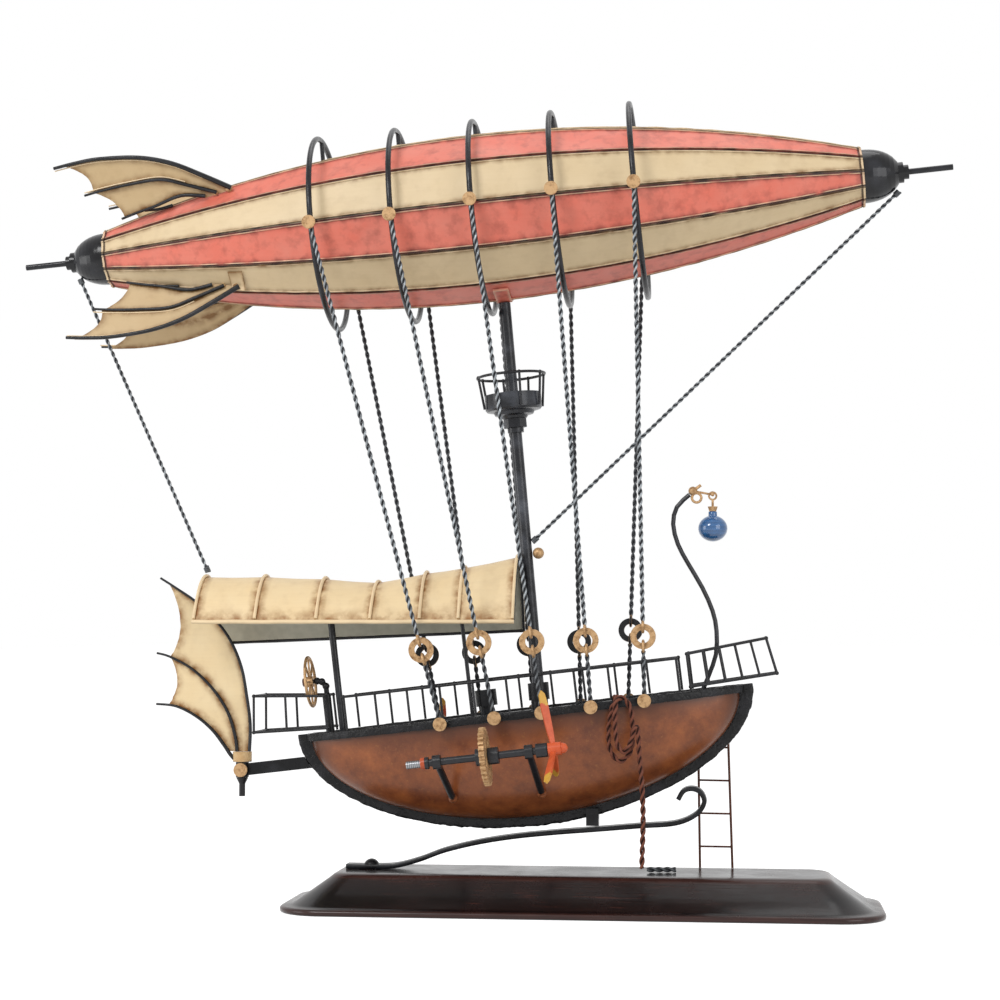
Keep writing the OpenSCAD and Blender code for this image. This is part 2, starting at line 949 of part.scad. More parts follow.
// Frame of one stay: Z runs up it from the gunwale button, Y across the hull
module along_stay(k, side) {
    v = unit(stay_top(k, side) - stay_foot(k, side));
    translate(stay_foot(k, side))
        rotate([asin(-v.y), atan2(v.x, v.z), 0])
            children();
}

module wound_eye(at) {
    translate(at)
        rotate([90, 0, 0])
            cylinder(h = eye_l, d = eye_d, center = true);
}

module shank_hole(at) {
    translate(at)
        rotate([90, 0, 0])
            cylinder(h = 20, d = shank_d + 0.3, center = true);
}

module link_eye(z) {
    translate([0, 0, z])
        rotate([0, 90, 0])
            torus(eye_r, eye_wire);
}

module upper_stays() {
    color(black)
        for (side = [near, far])
            for (k = [0:4])
                let (z = washer_at(k, side) + limb_r)
                difference() {
                    union() {
                        wound_eye(stay_top(k, side));
                        along_stay(k, side)
                            translate([0, 0, z + eye_r])
                                cylinder(h = norm(stay_top(k, side) - stay_foot(k, side)) - z - eye_r, d = stay_d);
                        along_stay(k, side)
                            link_eye(z);
                    }
                    shank_hole(stay_top(k, side));
                }
}

module lower_stays() {
    color(black)
        for (side = [near, far])
            for (k = [0:4])
                let (z = washer_at(k, side) - limb_r)
                difference() {
                    union() {
                        wound_eye(stay_foot(k, side));
                        along_stay(k, side)
                            cylinder(h = z - eye_r, d = stay_d);
                        along_stay(k, side)
                            link_eye(z);
                    }
                    shank_hole(stay_foot(k, side));
                }
}

module ring_washers() {
    color(brass)
        for (side = [near, far])
            for (k = [0:4])
                along_stay(k, side)
                    translate([0, 0, washer_at(k, side)])
                        rotate([90, 0, 0])
                            difference() {
                                cylinder(h = washer_t, d = washer_d, center = true);
                                cylinder(h = 5, d = washer_hole, center = true);
                            }
}

// A stay with a knot at each end
module knotted_stay(a, b) {
    rod(a, b, stay_d - 0.6);
    for (p = [a, b])
        translate(p)
            sphere(d = stay_d + 0.8);
}

stay_knot = (stay_d + 0.8) / 2 + seat_gap;

// Where a knot rests under an end cap, out from the envelope's end and up from its axis
function cap_knot(x) =
    let (n = unit([(cap_at(x - 0.1) - cap_at(x + 0.1)) / 0.2, 1]))
    [envelope_l / 2 + seat_gap + x + n.x * stay_knot, -cap_at(x) - n.y * stay_knot];

module end_stays() {
    knot = cap_knot(19);
    color(black) {
        knotted_stay(
            on_envelope([knot.x, 0, knot.y]),
            on_envelope([mast_x + mast_d / 2 + stay_knot, 0, -214])
        );
        knotted_stay(
            on_envelope([-knot.x, 0, knot.y]),
            [-181, 0, ridge(-181) + seat_gap + batten_d + stay_knot]
        );
    }
}

// Outlines of one fin, along the envelope and out from its axis
root_gap = rib_d / 2 + 0.4;
function from_tail(x) = x - envelope_l / 2;
function root_at(x) = [from_tail(x), gore_r(from_tail(x)) + root_gap];
function along_tail(p) = [for (q = p) [from_tail(q.x), q.y]];
fin_lead = concat(
    [root_at(92.5)], along_tail([[74.5, 53], [55.5, 63], [34.5, 69], [8.5, 71], [-7.5, 70], [-22.5, 68]])
);
fin_mid = concat([root_at(82.5)], along_tail([[62.5, 48], [46.5, 53], [24.5, 52], [6.5, 50], [-5.5, 48]]));
fin_in = concat([root_at(74.5)], along_tail([[58.5, 41], [40.5, 36], [27.5, 33], [16.5, 30]]));
fin_strut = concat([root_at(50.5)], along_tail([[42.5, 32.2], [31.5, 32]]));
fin_root = gore_r(from_tail(82.5));
// Degrees up or down from the beam at which the fins stand, starboard and then port
fin_seat = [52, 60];
// Degrees that the upper and lower fins are bent toward the beam, starboard and then port
fin_bend = [[-15, -15], [8, 18]];
// How far a fin that stands inside a gore sits below the seams beside it
fin_sink = [0.7, 0];

// One fin lies in a plane through the envelope's axis, on the seam 60 degrees up
module each_fin(bend = fin_bend) {
    aloft()
        for (y = [0, 1])
            for (z = [0, 1])
                mirror([0, y, 0])
                    mirror([0, 0, z])
                        rotate([180 - fin_seat[y], 0, 0])
                            translate([0, fin_root - fin_sink[y], 0])
                                rotate([bend[y][z], 0, 0])
                                    translate([0, -fin_root, 0])
                                        children();
}

module fin_sheets() {
    color(cream)
        each_fin()
            linear_extrude(sheet_t, center = true)
                polygon(concat(
                    [fin_lead[0] - [0, root_gap - 0.3]],
                    curve([for (i = [0:5]) fin_lead[i]], 2),
                    curve(along_tail([[-16, 68.4], [-5, 62], [1, 56], [1.5, 49.5]]), 3),
                    curve(along_tail([[4.5, 47.5], [13.5, 42], [18, 36], [18.5, 31.5]]), 3),
                    curve([for (i = [3:-1:0]) fin_in[i]], 2),
                    [fin_in[0] - [0, root_gap - 0.3]]
                ));
}

module fin_ribs() {
    z = sheet_t / 2 + seat_gap + rib_d / 2;
    color(black) {
        each_fin()
            for (rib = [fin_lead, fin_mid, fin_in])
                tube(curve([for (p = rib) [p.x, p.y, z]], 2), rib_d, 6);
        each_fin([[0, 0], [0, 0]])
            tube([for (p = fin_strut) [p.x, p.y, -z]], rib_d, 6);
    }
}

arm_end = [137.2, 0, 266];

module lantern_arm() {
    foot = on_hull([117, 0, 0.9]);
    color(black)
        tube(curve([
            foot, [149, 0, 150], [153.5, 0, 163], [154, 0, 178], [151.5, 0, 191], [145, 0, 206],
            [136, 0, 221.5], [129.5, 0, 234], [126.5, 0, 247], [129, 0, 258], arm_end
        ], 2), 3, 10);
}

module lantern_hook() {
    knob = arm_end + [2.1, 0, 2.3];
    bend = [hook_at.x, 2.8, hook_at.z];
    color(brass) {
        translate(knob)
            sphere(d = 5.8);
        rod(knob, bend, 1.4);
        rod(knob, knob + [5.2, 0, 3.8], 2);
        translate(knob + [2.4, 0, -4.4])
            rotate([90, 0, 0])
                torus(3, 1.7);
        translate(bend)
            sphere(d = 2.2);
        translate(bend)
            rotate([90, 0, 0])
                cylinder(h = 5.4, d = 1.6);
        translate(hook_at - [0, 2.6, 0])
            sphere(d = 2.6);
    }
}

lantern_drop = 22;
lantern_neck = 2.5;

module lantern_crown() {
    hang = 1.8 - 0.8 - running_fit;
    foot = -lantern_drop + lantern_d * 0.45 + lantern_neck + 0.2;
    color(brass)
        translate(hook_at) {
            translate([0, 0, -hang])
                rotate([90, 0, 0])
                    torus(2.4, 1.2);
            translate([0, 0, foot])
                cylinder(h = -hang - 2.4 - foot, d = 1.5);
            translate([0, 0, foot])
                cylinder(h = 3, d1 = 4.6, d2 = 6.4);
        }
}

module lantern_ball() {
    r = lantern_d / 2;
    top = r * 0.9;
    color([0.24, 0.45, 0.66])
        translate([hook_at.x, 0, hook_at.z - lantern_drop])
            rotate_extrude()
                polygon(concat(
                    [[0, -top]],
                    [for (a = [-75:15:60]) [r * cos(a), top * sin(a)]],
                    [[2.8, top - 0.4], [2.8, top + lantern_neck], [0, top + lantern_neck]]
                ));
}

ladder_feet = [[142, 27], [163, 27]];

module ladder() {
    w = 1.6;
    top_x = [113, 132];
    heads = [
        for (x = top_x)
            on_hull([x, band_y(x, band_out) + 0.3 + w / 2, band_top])
    ];
    feet = [for (p = ladder_feet) [p.x, p.y, base_h + seat_gap]];
    color(brown) {
        for (k = [0, 1])
            rod(feet[k], heads[k], w);
        for (z = [38:21.5:125])
            rod(
                mix(feet[0], heads[0], (z - feet[0].z) / (heads[0].z - feet[0].z)),
                mix(feet[1], heads[1], (z - feet[1].z) / (heads[1].z - feet[1].z)),
                w * 0.8
            );
    }
}

rope_points = [
    [89, -22, 135.3], [90, -29, 136], [91, -34.5, 136.8], [92, -39.5, 135.5], [89, -41.5, 129], [87, -41.5, 116],
    [88, -41.5, 104], [94, -41.5, 97], [101, -41.5, 104], [102, -41.5, 116], [101, -41.5, 128], [97, -42.5, 136],
    [92, -46.5, 134], [91.5, -47, 118], [93, -47, 107], [97, -47, 103], [101, -47, 109], [105, -47, 119],
    [106.5, -47, 100], [108, -46, 80], [108.5, -45, 62], [108, -44, 46], [107.5, -44, 31]
];
rope_line = curve(rope_points, 3);
rope_gap = min([
    for (i = [0:len(rope_line) - 1])
        for (j = [i + 5:1:len(rope_line) - 1])
            norm(rope_line[i] - rope_line[j]) - rope_d
]);
echo(rope_least_gap = rope_gap);

module mooring_rope() {
    color(brown)
        tube(rope_line, rope_d, 8);
}

module screw_frame(side) {
    ship()
        translate([screw_mid, 0, shaft_z])
            rotate([0, 0, side < 0 ? 0 : 180])
                translate([-screw_mid, -shaft_y, 0])
                    rotate([0, 90, 0])
                        children();
}

// Where a bracket's ball foot rests: clear of the shell along its outward normal
function foot_at(x, r) =
    let (
        t = 48,
        p = hull_point(x, t, 1, hull_t),
        q = hull_point(x, t + 1, 1, hull_t) - p,
        n = unit([-q.z, q.y])
    )
    [p.y, p.z] + n * (r + seat_gap);

module brackets(side) {
    foot_d = 5.6;
    color(black)
        for (x = bearing_x) {
            ball = foot_at(side < 0 ? x : 2 * screw_mid - x, foot_d / 2);
            foot = [shaft_z - ball.y, shaft_y - ball.x, x];
            screw_frame(side)
                difference() {
                    union() {
                        translate([0, 0, x - bearing_l / 2])
                            cylinder(h = bearing_l, d = shaft_d + 4);
                        rod([0, 0, x], foot, 4.4);
                        translate(foot)
                            sphere(d = foot_d);
                    }
                    translate([0, 0, x - 10])
                        cylinder(h = 20, d = shaft_d + 2 * running_fit);
                }
        }
}

// The shaft is turned with its shoulders in one
module shaft(side) {
    color(black)
        screw_frame(side) {
            translate([0, 0, -67])
                cylinder(h = 94, d = shaft_d);
            for (c = [
                [-58, 5, 7.4], [gear_x - gear_t / 2 - 3.9, 3.4, 10.4], [gear_x + gear_t / 2 + 0.5, 6.2, 10.4],
                [13.5, 7, 8.6]
            ])
                translate([0, 0, c[0]])
                    cylinder(h = c[1], d = c[2]);
        }
}

module gear(side) {
    n = gear_teeth;
    r = gear_d / 2;
    color(brass)
        screw_frame(side)
            translate([0, 0, gear_x - gear_t / 2])
                linear_extrude(gear_t)
                    difference() {
                        polygon([
                            for (k = [0:n - 1])
                                for (p = [[-0.3, r - 1.6], [-0.16, r], [0.16, r], [0.3, r - 1.6]])
                                    let (a = 360 * (k + p[0]) / n)
                                    p[1] * [cos(a), sin(a)]
                        ]);
                        circle(d = shaft_d + 0.1);
                        for (k = [0:4])
                            rotate(72 * k)
                                translate([r * 0.56, 0])
                                    circle(r * 0.2);
                    }
}

module blade(l) {
    rotate([90, 0, 0])
        linear_extrude(1.4, center = true)
            polygon([
                [-1.4, 0], [1.4, 0], [2.1, l * 0.25], [2.5, l * 0.7], [1.9, l * 0.93], [0, l],
                [-1.9, l * 0.93], [-2.5, l * 0.7], [-2.1, l * 0.25]
            ]);
}

// Three blades on a hub that ends in a ball
module propeller(side) {
    color(orange)
        screw_frame(side)
            translate([0, 0, 21])
                difference() {
                    union() {
                        cylinder(h = 8, d = 8);
                        translate([0, 0, 8.8])
                            sphere(d = 6.6);
                        for (k = [0:2])
                            rotate([0, 0, 180 + 120 * k])
                                translate([0, 0, 3.5])
                                    rotate([0, 96, 0])
                                        rotate([0, 0, 30])
                                            translate([0, 0, 3])
                                                blade(propeller_r - 3.6);
                    }
                    translate([0, 0, -5])
                        cylinder(h = 11.5, d = shaft_d + 0.1);
                }
}

module starboard_brackets() {
    brackets(near);
}

module starboard_shaft() {
    shaft(near);
}

module starboard_gear() {
    gear(near);
}

module starboard_propeller() {
    propeller(near);
}

module port_brackets() {
    brackets(far);
}

module port_shaft() {
    shaft(far);
}

module port_gear() {
    gear(far);
}

module port_propeller() {
    propeller(far);
}

base_tray();
support_strap();
strap_bolt();
strap_nut();
keel_clamp();
base_wire();
hull_starboard();
hull_port();
keel_band();
deck();
gunwale();
starboard_rail();
port_rail();
stern_gallery();
bow_gallery();
mast_socket();
deck_drum();
rudder_arm();
rudder_stock();
rudder_ribs();
rudder_sheet();
helm_post();
helm_wheel();
helm_nut();
awning_sheet();
awning_battens();
awning_posts();
mast();
mast_saddle();
nest_tub();
nest_rail();
nest_nuts();
mast_knob();
cream_gores();
red_gores();
end_caps();
end_rods();
hoops();
brass_buttons();
upper_stays();
lower_stays();
ring_washers();
end_stays();
fin_sheets();
fin_ribs();
lantern_arm();
lantern_hook();
lantern_crown();
lantern_ball();
ladder();
mooring_rope();
starboard_brackets();
starboard_shaft();
starboard_gear();
starboard_propeller();
port_brackets();
port_shaft();
port_gear();
port_propeller();
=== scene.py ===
import math

import bpy
import numpy as np
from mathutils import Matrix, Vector, noise


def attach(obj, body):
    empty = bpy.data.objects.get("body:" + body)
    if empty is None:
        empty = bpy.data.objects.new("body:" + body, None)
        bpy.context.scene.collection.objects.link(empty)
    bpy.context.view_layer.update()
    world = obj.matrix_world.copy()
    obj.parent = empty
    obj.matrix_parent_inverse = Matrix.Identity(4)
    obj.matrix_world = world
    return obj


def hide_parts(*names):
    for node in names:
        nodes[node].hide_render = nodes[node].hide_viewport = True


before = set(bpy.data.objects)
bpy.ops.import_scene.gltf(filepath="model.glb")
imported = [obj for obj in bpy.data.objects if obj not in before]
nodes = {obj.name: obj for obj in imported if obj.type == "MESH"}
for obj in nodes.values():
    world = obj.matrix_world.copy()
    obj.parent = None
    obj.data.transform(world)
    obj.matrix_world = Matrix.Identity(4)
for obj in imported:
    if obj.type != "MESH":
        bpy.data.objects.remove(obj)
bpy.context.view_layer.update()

# Studio: the model stands on a white paper sweep and is photographed from a little ahead of
# its starboard beam, with the lens just above the deck and tipped slightly upwards.
AMBIENT, PAPER_GLOW = 0.54, 0.74
# Name, place and aim in metres, width in metres, and watts
SOFTBOXES = (
    ("key softbox", (-0.75, -1.35, 1.35), (0.0, 0.0, 0.3), 0.55, 13),
    ("fill softbox", (1.25, -1.15, 0.6), (0.05, 0.0, 0.25), 1.0, 8.4),
    ("side softbox", (-1.25, -0.55, 0.32), (-0.1, 0.0, 0.2), 0.6, 4),
    ("top softbox", (0.1, 0.25, 1.7), (0.0, 0.0, 0.3), 0.9, 4.5),
)
scene = bpy.context.scene
scene.view_settings.view_transform = "Standard"
lens = bpy.data.cameras.new("lens")
lens.sensor_width = 36
lens.lens = 77.4


def put(name, data):
    """A new object in the scene."""
    made = bpy.data.objects.new(name, data)
    scene.collection.objects.link(made)
    return made


scene.camera = put("camera", lens)
scene.camera.location = (0.17242, -1.391, 0.180)
scene.camera.rotation_euler = (math.radians(93.407), 0, math.radians(6.5))


def linear(hex_colour):
    """An sRGB hex colour as linear RGBA."""
    parts = [int(hex_colour[i:i + 2], 16) / 255 for i in (1, 3, 5)]
    return (*[c / 12.92 if c <= 0.04045 else ((c + 0.055) / 1.055) ** 2.4 for c in parts], 1)


def add(tree, kind, inputs=(), **settings):
    """One shader node, each of its inputs set to a value or linked to a socket."""
    made = tree.nodes.new("ShaderNode" + kind)
    for name, value in settings.items():
        setattr(made, name, value)
    for name, value in dict(inputs).items():
        if isinstance(value, bpy.types.NodeSocket):
            tree.links.new(value, made.inputs[name])
        else:
            made.inputs[name].default_value = value
    return made


def calc(operation, first, second=0.5, **settings):
    """A sum on a socket's value and, for most sums, a second one."""
    return add(first.id_data, "Math", {0: first, 1: second}, operation=operation, **settings).outputs[0]


def seen(tree):
    """1 on rays from the lens, and on those that reach it by gloss or glass."""
    ray = add(tree, "LightPath").outputs
    direct = calc("MAXIMUM", ray["Is Camera Ray"], ray["Is Transmission Ray"])
    return calc("MAXIMUM", direct, ray["Is Glossy Ray"])


scene.world = bpy.data.worlds.new("studio")
scene.world.use_nodes = True
tree = scene.world.node_tree
tree.nodes.clear()
ambient = add(tree, "Background", {"Color": linear("#FFFFFF"), "Strength": AMBIENT})
white = add(tree, "Background", {"Color": linear("#FFFFFF"), "Strength": 1.0})
both = add(tree, "MixShader", {0: seen(tree), 1: ambient.outputs[0], 2: white.outputs[0]})
add(tree, "OutputWorld", {"Surface": both.outputs[0]})

for name, place_m, aim_m, width, watts in SOFTBOXES:
    lamp = bpy.data.lights.new(name, "AREA")
    lamp.shape = "SQUARE"
    lamp.size = width
    lamp.energy = watts
    box = put(name, lamp)
    box.location = place_m
    box.rotation_euler = (Vector(aim_m) - Vector(place_m)).to_track_quat("-Z", "Y").to_euler()


def blank(name):
    """A new material with an empty node tree, and that tree."""
    made = bpy.data.materials.new(name)
    made.use_nodes = True
    made.node_tree.nodes.clear()
    return made, made.node_tree


# Matt white paper: it takes the model's shadow, and reads as the white of the photograph.
paper, tree = blank("white paper sweep")
matte = add(tree, "BsdfDiffuse", {"Color": linear("#D2D2D2")})
glow = add(tree, "Emission", {"Color": linear("#FFFFFF"), "Strength": PAPER_GLOW})
lit = add(tree, "AddShader", {0: matte.outputs[0], 1: glow.outputs[0]})
mixed = add(tree, "MixShader", {0: seen(tree), 1: matte.outputs[0], 2: lit.outputs[0]})
add(tree, "OutputMaterial", {"Surface": mixed.outputs[0]})
floor_mesh = bpy.data.meshes.new("floor")
floor_mesh.from_pydata([(-6, -3, 0), (6, -3, 0), (6, 20, 0), (-6, 20, 0)], [], [(0, 1, 2, 3)])
floor_mesh.materials.append(paper)
floor = put("floor", floor_mesh)

# Mooring rope: brown twine of two strands. It lies over the starboard gunwale, hangs in a
# hank of two turns, and its tail drops towards the base and ends bare. Sizes are in mm.
ROPE_R, ROPE_LAY, LAY_STEP = 1.8, 12.5, 0.9
ROPE_POINTS = [
    (89, -22, 135.3), (90, -29, 136), (91, -34.5, 136.8), (92, -39.5, 135.5), (89, -41.5, 129),
    (87, -41.5, 116), (88, -41.5, 104), (94, -41.5, 97), (101, -41.5, 104), (102, -41.5, 116),
    (101, -41.5, 128), (97, -42.5, 136), (92, -46.5, 134), (91.5, -47, 118), (93, -47, 107),
    (97, -47, 103), (101, -47, 109), (105, -47, 119), (106.5, -47, 100), (108, -46, 80),
    (108.5, -45, 62), (108, -44, 46), (107.5, -44, 31),
]


def smooth_line(points, steps):
    """The same smooth line through given points that the part's source uses."""
    p = np.array(points, float)
    line = []
    for i in range(len(p) - 1):
        a, b, c, d = p[max(i - 1, 0)], p[i], p[i + 1], p[min(i + 2, len(p) - 1)]
        for f in np.arange(steps) / steps:
            line.append(0.5 * (2 * b + (c - a) * f + (2 * a - 5 * b + 4 * c - d) * f ** 2
                               + (3 * b - a - 3 * c + d) * f ** 3))
    return np.array(line + [p[-1]])


def run_along(line):
    """The distance along a line to each of its points."""
    return np.concatenate([[0], np.cumsum(np.linalg.norm(np.diff(line, axis=0), axis=1))])


def even(line, spacing):
    """A line's points again, an even distance apart."""
    line = np.asarray(line, float)
    run = run_along(line)
    at = np.linspace(0, run[-1], max(2, int(round(run[-1] / spacing)) + 1))
    return np.stack([np.interp(at, run, line[:, k]) for k in range(3)], 1)


def square_to(line):
    """Two directions square to a line at each point, carried along it without twist."""
    heading = np.gradient(line, axis=0)
    heading /= np.linalg.norm(heading, axis=1)[:, None]
    side = np.array([0.0, 1, 0]) if abs(heading[0][1]) < 0.7 else np.array([1.0, 0, 0])
    sides = []
    for h in heading:
        side = side - h * side.dot(h)
        side /= np.linalg.norm(side)
        sides.append(side)
    return np.array(sides), np.cross(heading, sides)


def swept(rings):
    """Points and faces of a closed form through rings of one count."""
    rings = np.asarray(rings, float)
    m, n = rings.shape[:2]
    faces = [(i * n + k, i * n + (k + 1) % n, (i + 1) * n + (k + 1) % n, (i + 1) * n + k)
             for i in range(m - 1) for k in range(n)]
    faces += [tuple(range(n))[::-1], tuple((m - 1) * n + k for k in range(n))]
    return rings.reshape(-1, 3), faces


def wire(line, radius, around=12):
    """A round wire along a line; the radius may change along it."""
    u, v = square_to(line)
    radius = np.broadcast_to(radius, len(line))
    turn = np.arange(around) * 2 * math.pi / around
    ring = np.cos(turn)[None, :, None] * u[:, None] + np.sin(turn)[None, :, None] * v[:, None]
    return swept(line[:, None] + ring * radius[:, None, None])


def together(parts):
    """Several (points, faces) as one."""
    points, faces, start = [], [], 0
    for p, f in parts:
        points.append(p)
        faces += [tuple(i + start for i in face) for face in f]
        start += len(p)
    return np.concatenate(points), faces


def twisted(line, outer, pitch, around=8):
    """Two strands laid round a line, with how far out of the lay each point stands."""
    u, v = square_to(line)
    parts, stand = [], []
    for start in (0, math.pi):
        a = 2 * math.pi * run_along(line) / pitch + start
        centre = line + outer / 2 * (np.cos(a)[:, None] * u + np.sin(a)[:, None] * v)
        parts.append(wire(centre, outer / 2, around))
        from_line = parts[-1][0].reshape(len(line), around, 3) - line[:, None]
        stand.append(np.linalg.norm(from_line, axis=2).ravel() / outer)
    return together(parts), np.concatenate(stand)


def make(name, shape, material, slot, replaced=None, body="airship", crease=40, **marks):
    """A piece that rides a body, smooth between creases. Its marks repeat to cover all its points."""
    points_mm, faces = shape
    mesh = bpy.data.meshes.new(name)
    mesh.from_pydata((points_mm / 1000).tolist(), [], faces)
    mesh.validate()
    mesh.shade_smooth()
    if crease:
        mesh.set_sharp_from_angle(angle=math.radians(crease))
    for mark, values in marks.items():
        painted = mesh.attributes.new(mark, "FLOAT", "POINT")
        painted.data.foreach_set("value", np.resize(values, len(points_mm)).astype(float))
    mesh.materials.append(material)
    obj = put(name, mesh)
    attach(obj, body)
    if replaced:
        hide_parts(replaced)
    return obj


def blend(share, first, second, **settings):
    """A colour between two, each a hex colour or a socket."""
    first, second = (linear(c) if isinstance(c, str) else c for c in (first, second))
    colours = {0: share, 6: first, 7: second}
    return add(share.id_data, "Mix", colours, data_type="RGBA", **settings).outputs[2]


def span(value, low=0.0, high=1.0, start=0.0, end=1.0):
    """A value from low to high, mapped to start to end and held there."""
    limits = {"From Min": low, "From Max": high, "To Min": start, "To Max": end}
    return add(value.id_data, "MapRange", {"Value": value, **limits}).outputs[0]


def grain(tree, size_mm, detail, rough=0.5):
    """Clouds of noise of about the given size, from 0 to 1."""
    at = add(tree, "TexCoord").outputs["Object"]
    cloud = {"Vector": at, "Scale": 1000 / size_mm, "Detail": detail, "Roughness": rough}
    return add(tree, "TexNoise", cloud).outputs["Fac"]


def attribute(tree, name):
    """A mark on the mesh, from 0 to 1."""
    return add(tree, "Attribute", attribute_name=name).outputs["Fac"]


def surface(colour, rough, specular=0.5, relief=None, more=()):
    """Ends a material in one coat, its relief given as height, strength and depth in metres."""
    tree = colour.id_data
    inputs = {"Base Color": colour, "Roughness": rough, "Specular IOR Level": specular, **dict(more)}
    if relief:
        height, strength, depth = relief
        bump = add(tree, "Bump", {"Height": height, "Strength": strength, "Distance": depth})
        inputs["Normal"] = bump.outputs[0]
    coat = add(tree, "BsdfPrincipled", inputs)
    add(tree, "OutputMaterial", {"Surface": coat.outputs[0]})


# Waxed jute twine: dull brown fibre on the crowns of the lay, with painted shade darkening its grooves.
# The fibres are 0.8 mm here, coarser than real, so that they show.
jute, tree = blank("waxed jute twine")
fibre = grain(tree, 0.8, 2.0)
# Painted shade: the grooves of the lay are drawn near black.
crown = span(attribute(tree, "stand"), 0.5, 0.98)
lay = blend(crown, "#2E1710", "#7A5040")
flecked = blend(fibre, lay, "#A06A4C", blend_type="SOFT_LIGHT")
surface(flecked, 0.7, 0.3, (fibre, 0.4, 0.0003))
rope_line = even(smooth_line(ROPE_POINTS, 8), LAY_STEP)
lay_of_rope, stand_out = twisted(rope_line, ROPE_R, ROPE_LAY)
rope = make("mooring_rope_lay", lay_of_rope, jute, "rope", "mooring_rope", crease=0, stand=stand_out)

# Base: a tray pressed from sheet steel with a rolled rim, hollow below, standing on the
# flat underside of the rim. Its enamel is almost black, rubbed brown along the pressed edges.
BASE_X, BASE_H = 67.0, 24.0
# Length, width, corner radius, height and wear of each pressed line, from inside below to the top
TRAY_LINES = [
    (310, 58, 10, BASE_H - 1.6, 0), (318, 66, 13, BASE_H - 5, 0), (372, 106, 25, 1, 0),
    (374, 108, 26, 0, 0), (379, 113, 28.5, 0, 0.3), (381.4, 115.4, 29.7, 0.6, 0.8),
    (382, 116, 30, 1.8, 1), (381.6, 115.6, 29.8, 3.1, 1), (379.6, 113.6, 29, 3.9, 0.7),
    (376, 110, 27.5, 4.2, 0.35), (370, 105.4, 25.5, 4.5, 0.05), (366, 102.5, 24.5, 5.2, 0),
    (343, 85, 20, 13, 0), (322, 69.5, 15.6, 20.4, 0.25), (319, 67, 14.6, 21.6, 0.8),
    (316, 64.2, 13.4, 22.8, 1), (312, 60.4, 11.6, 23.6, 0.9), (307, 55.5, 10, BASE_H, 0.35),
    (300, 48.5, 8, BASE_H, 0),
]
CORNER_POINTS = 11
rings, rub = [], []
for l, w, r, z, worn in TRAY_LINES:
    ring = []
    for q, (sx, sy) in enumerate(((1, 1), (-1, 1), (-1, -1), (1, -1))):
        for a in np.linspace(math.pi / 2 * q, math.pi / 2 * (q + 1), CORNER_POINTS):
            x, y = sx * (l / 2 - r) + r * math.cos(a), sy * (w / 2 - r) + r * math.sin(a)
            ring.append((BASE_X + x, y, z))
    rings.append(ring)
    rub += [worn] * len(ring)


def brushed(tree, run_mm, hair_mm=1.5):
    """Noise drawn out along the model, as a brush leaves it."""
    at = add(tree, "TexCoord").outputs["Object"]
    drawn = add(tree, "Mapping", {"Vector": at, "Scale": (1000 / run_mm, 1000 / hair_mm, 1000 / hair_mm)})
    return add(tree, "TexNoise", {"Vector": drawn.outputs[0], "Scale": 1.0, "Detail": 3.0}).outputs["Fac"]


# Brushed-on enamel over pressed steel: near-black brown, semi-gloss, with 30 mm clouds of
# red-brown showing through and the pressed edges rubbed back. Brush drag about 1.5 mm.
tray_enamel, tree = blank("rubbed black-brown enamel")
clouds = grain(tree, 30, 5.0, 0.65)
brush = brushed(tree, 26)
patch = span(clouds, 0.45, 0.75, 0.0, 0.8)
enamel = blend(patch, "#120E0F", "#1F100F")
scraped = calc("MULTIPLY", span(brush, 0.6, 0.7, 0.0, 0.55), patch)
streaked = blend(scraped, enamel, "#6B3A2E")
bare = calc("MULTIPLY", attribute(tree, "rub"), brush)
edged = blend(bare, streaked, "#4A2C26")
gloss = span(clouds, 0.3, 0.75, 0.16, 0.33)
surface(edged, gloss, 0.32, (brush, 0.12, 0.0004))
make("base_tray_pressing", swept(rings), tray_enamel, "base_paint", "base_tray", crease=0, rub=rub)

# Support strap: a bar bent from the bolted foot up under the keel, ending in a scroll.
# A dome bolt with a nut below holds the foot, and a clamp holds the bar to the keel.
strap_route = smooth_line([
    (-86, 0, 25.65), (-70, 0, 25.65), (-54, 0, 26.35), (-37.8, 0, 30.65), (-21.6, 0, 36.65), (0, 0, 42),
    (24, 0, 46), (52, 0, 49), (76, 0, 51), (104, 0, 53.5), (127, 0, 55.5), (140, 0, 61),
    (145.5, 0, 68.5), (143.5, 0, 75), (138, 0, 77.5), (132.5, 0, 76), (129, 0, 70.5),
], 8)
_, upright = square_to(strap_route)
# Across the bar and through it
BAR = [(-6, -0.7), (-5.4, -1.5), (5.4, -1.5), (6, -0.7), (6, 0.7), (5.4, 1.5), (-5.4, 1.5), (-6, 0.7)]


# Black air-dry enamel brushed over wrought wire and bar: deep black, semi-gloss, with lumps a
# few millimetres across from hammering and runs, and greyer where hands have polished it.
def black_enamel(name, lump_mm, rough, tone="#101013", polished="#2B2C31", relief=0.3, sheen=0.32):
    made, tree = blank(name)
    lumps = grain(tree, lump_mm, 3.0, 0.55)
    rubbed = span(grain(tree, 14, 4.0), 0.45, 0.75)
    gloss = span(lumps, 0.3, 0.7, rough - 0.07, rough + 0.09)
    surface(blend(rubbed, tone, polished), gloss, sheen, (lumps, relief, relief / 800))
    return made


bar_black = black_enamel("black enamel on bar", 2.4, 0.3, tone="#0B0B0D", polished="#25262A", sheen=0.22)
bent = swept([[p + (0, -y, 0) + up * t for y, t in BAR] for p, up in zip(strap_route, upright)])
make("support_strap_bar", bent, bar_black, "black_paint", "support_strap", crease=50)


def finish(material, *names):
    """Gives CAD nodes their finish."""
    for name in names:
        nodes[name].data.materials.clear()
        nodes[name].data.materials.append(material)


finish(bar_black, "strap_bolt", "strap_nut", "keel_clamp")

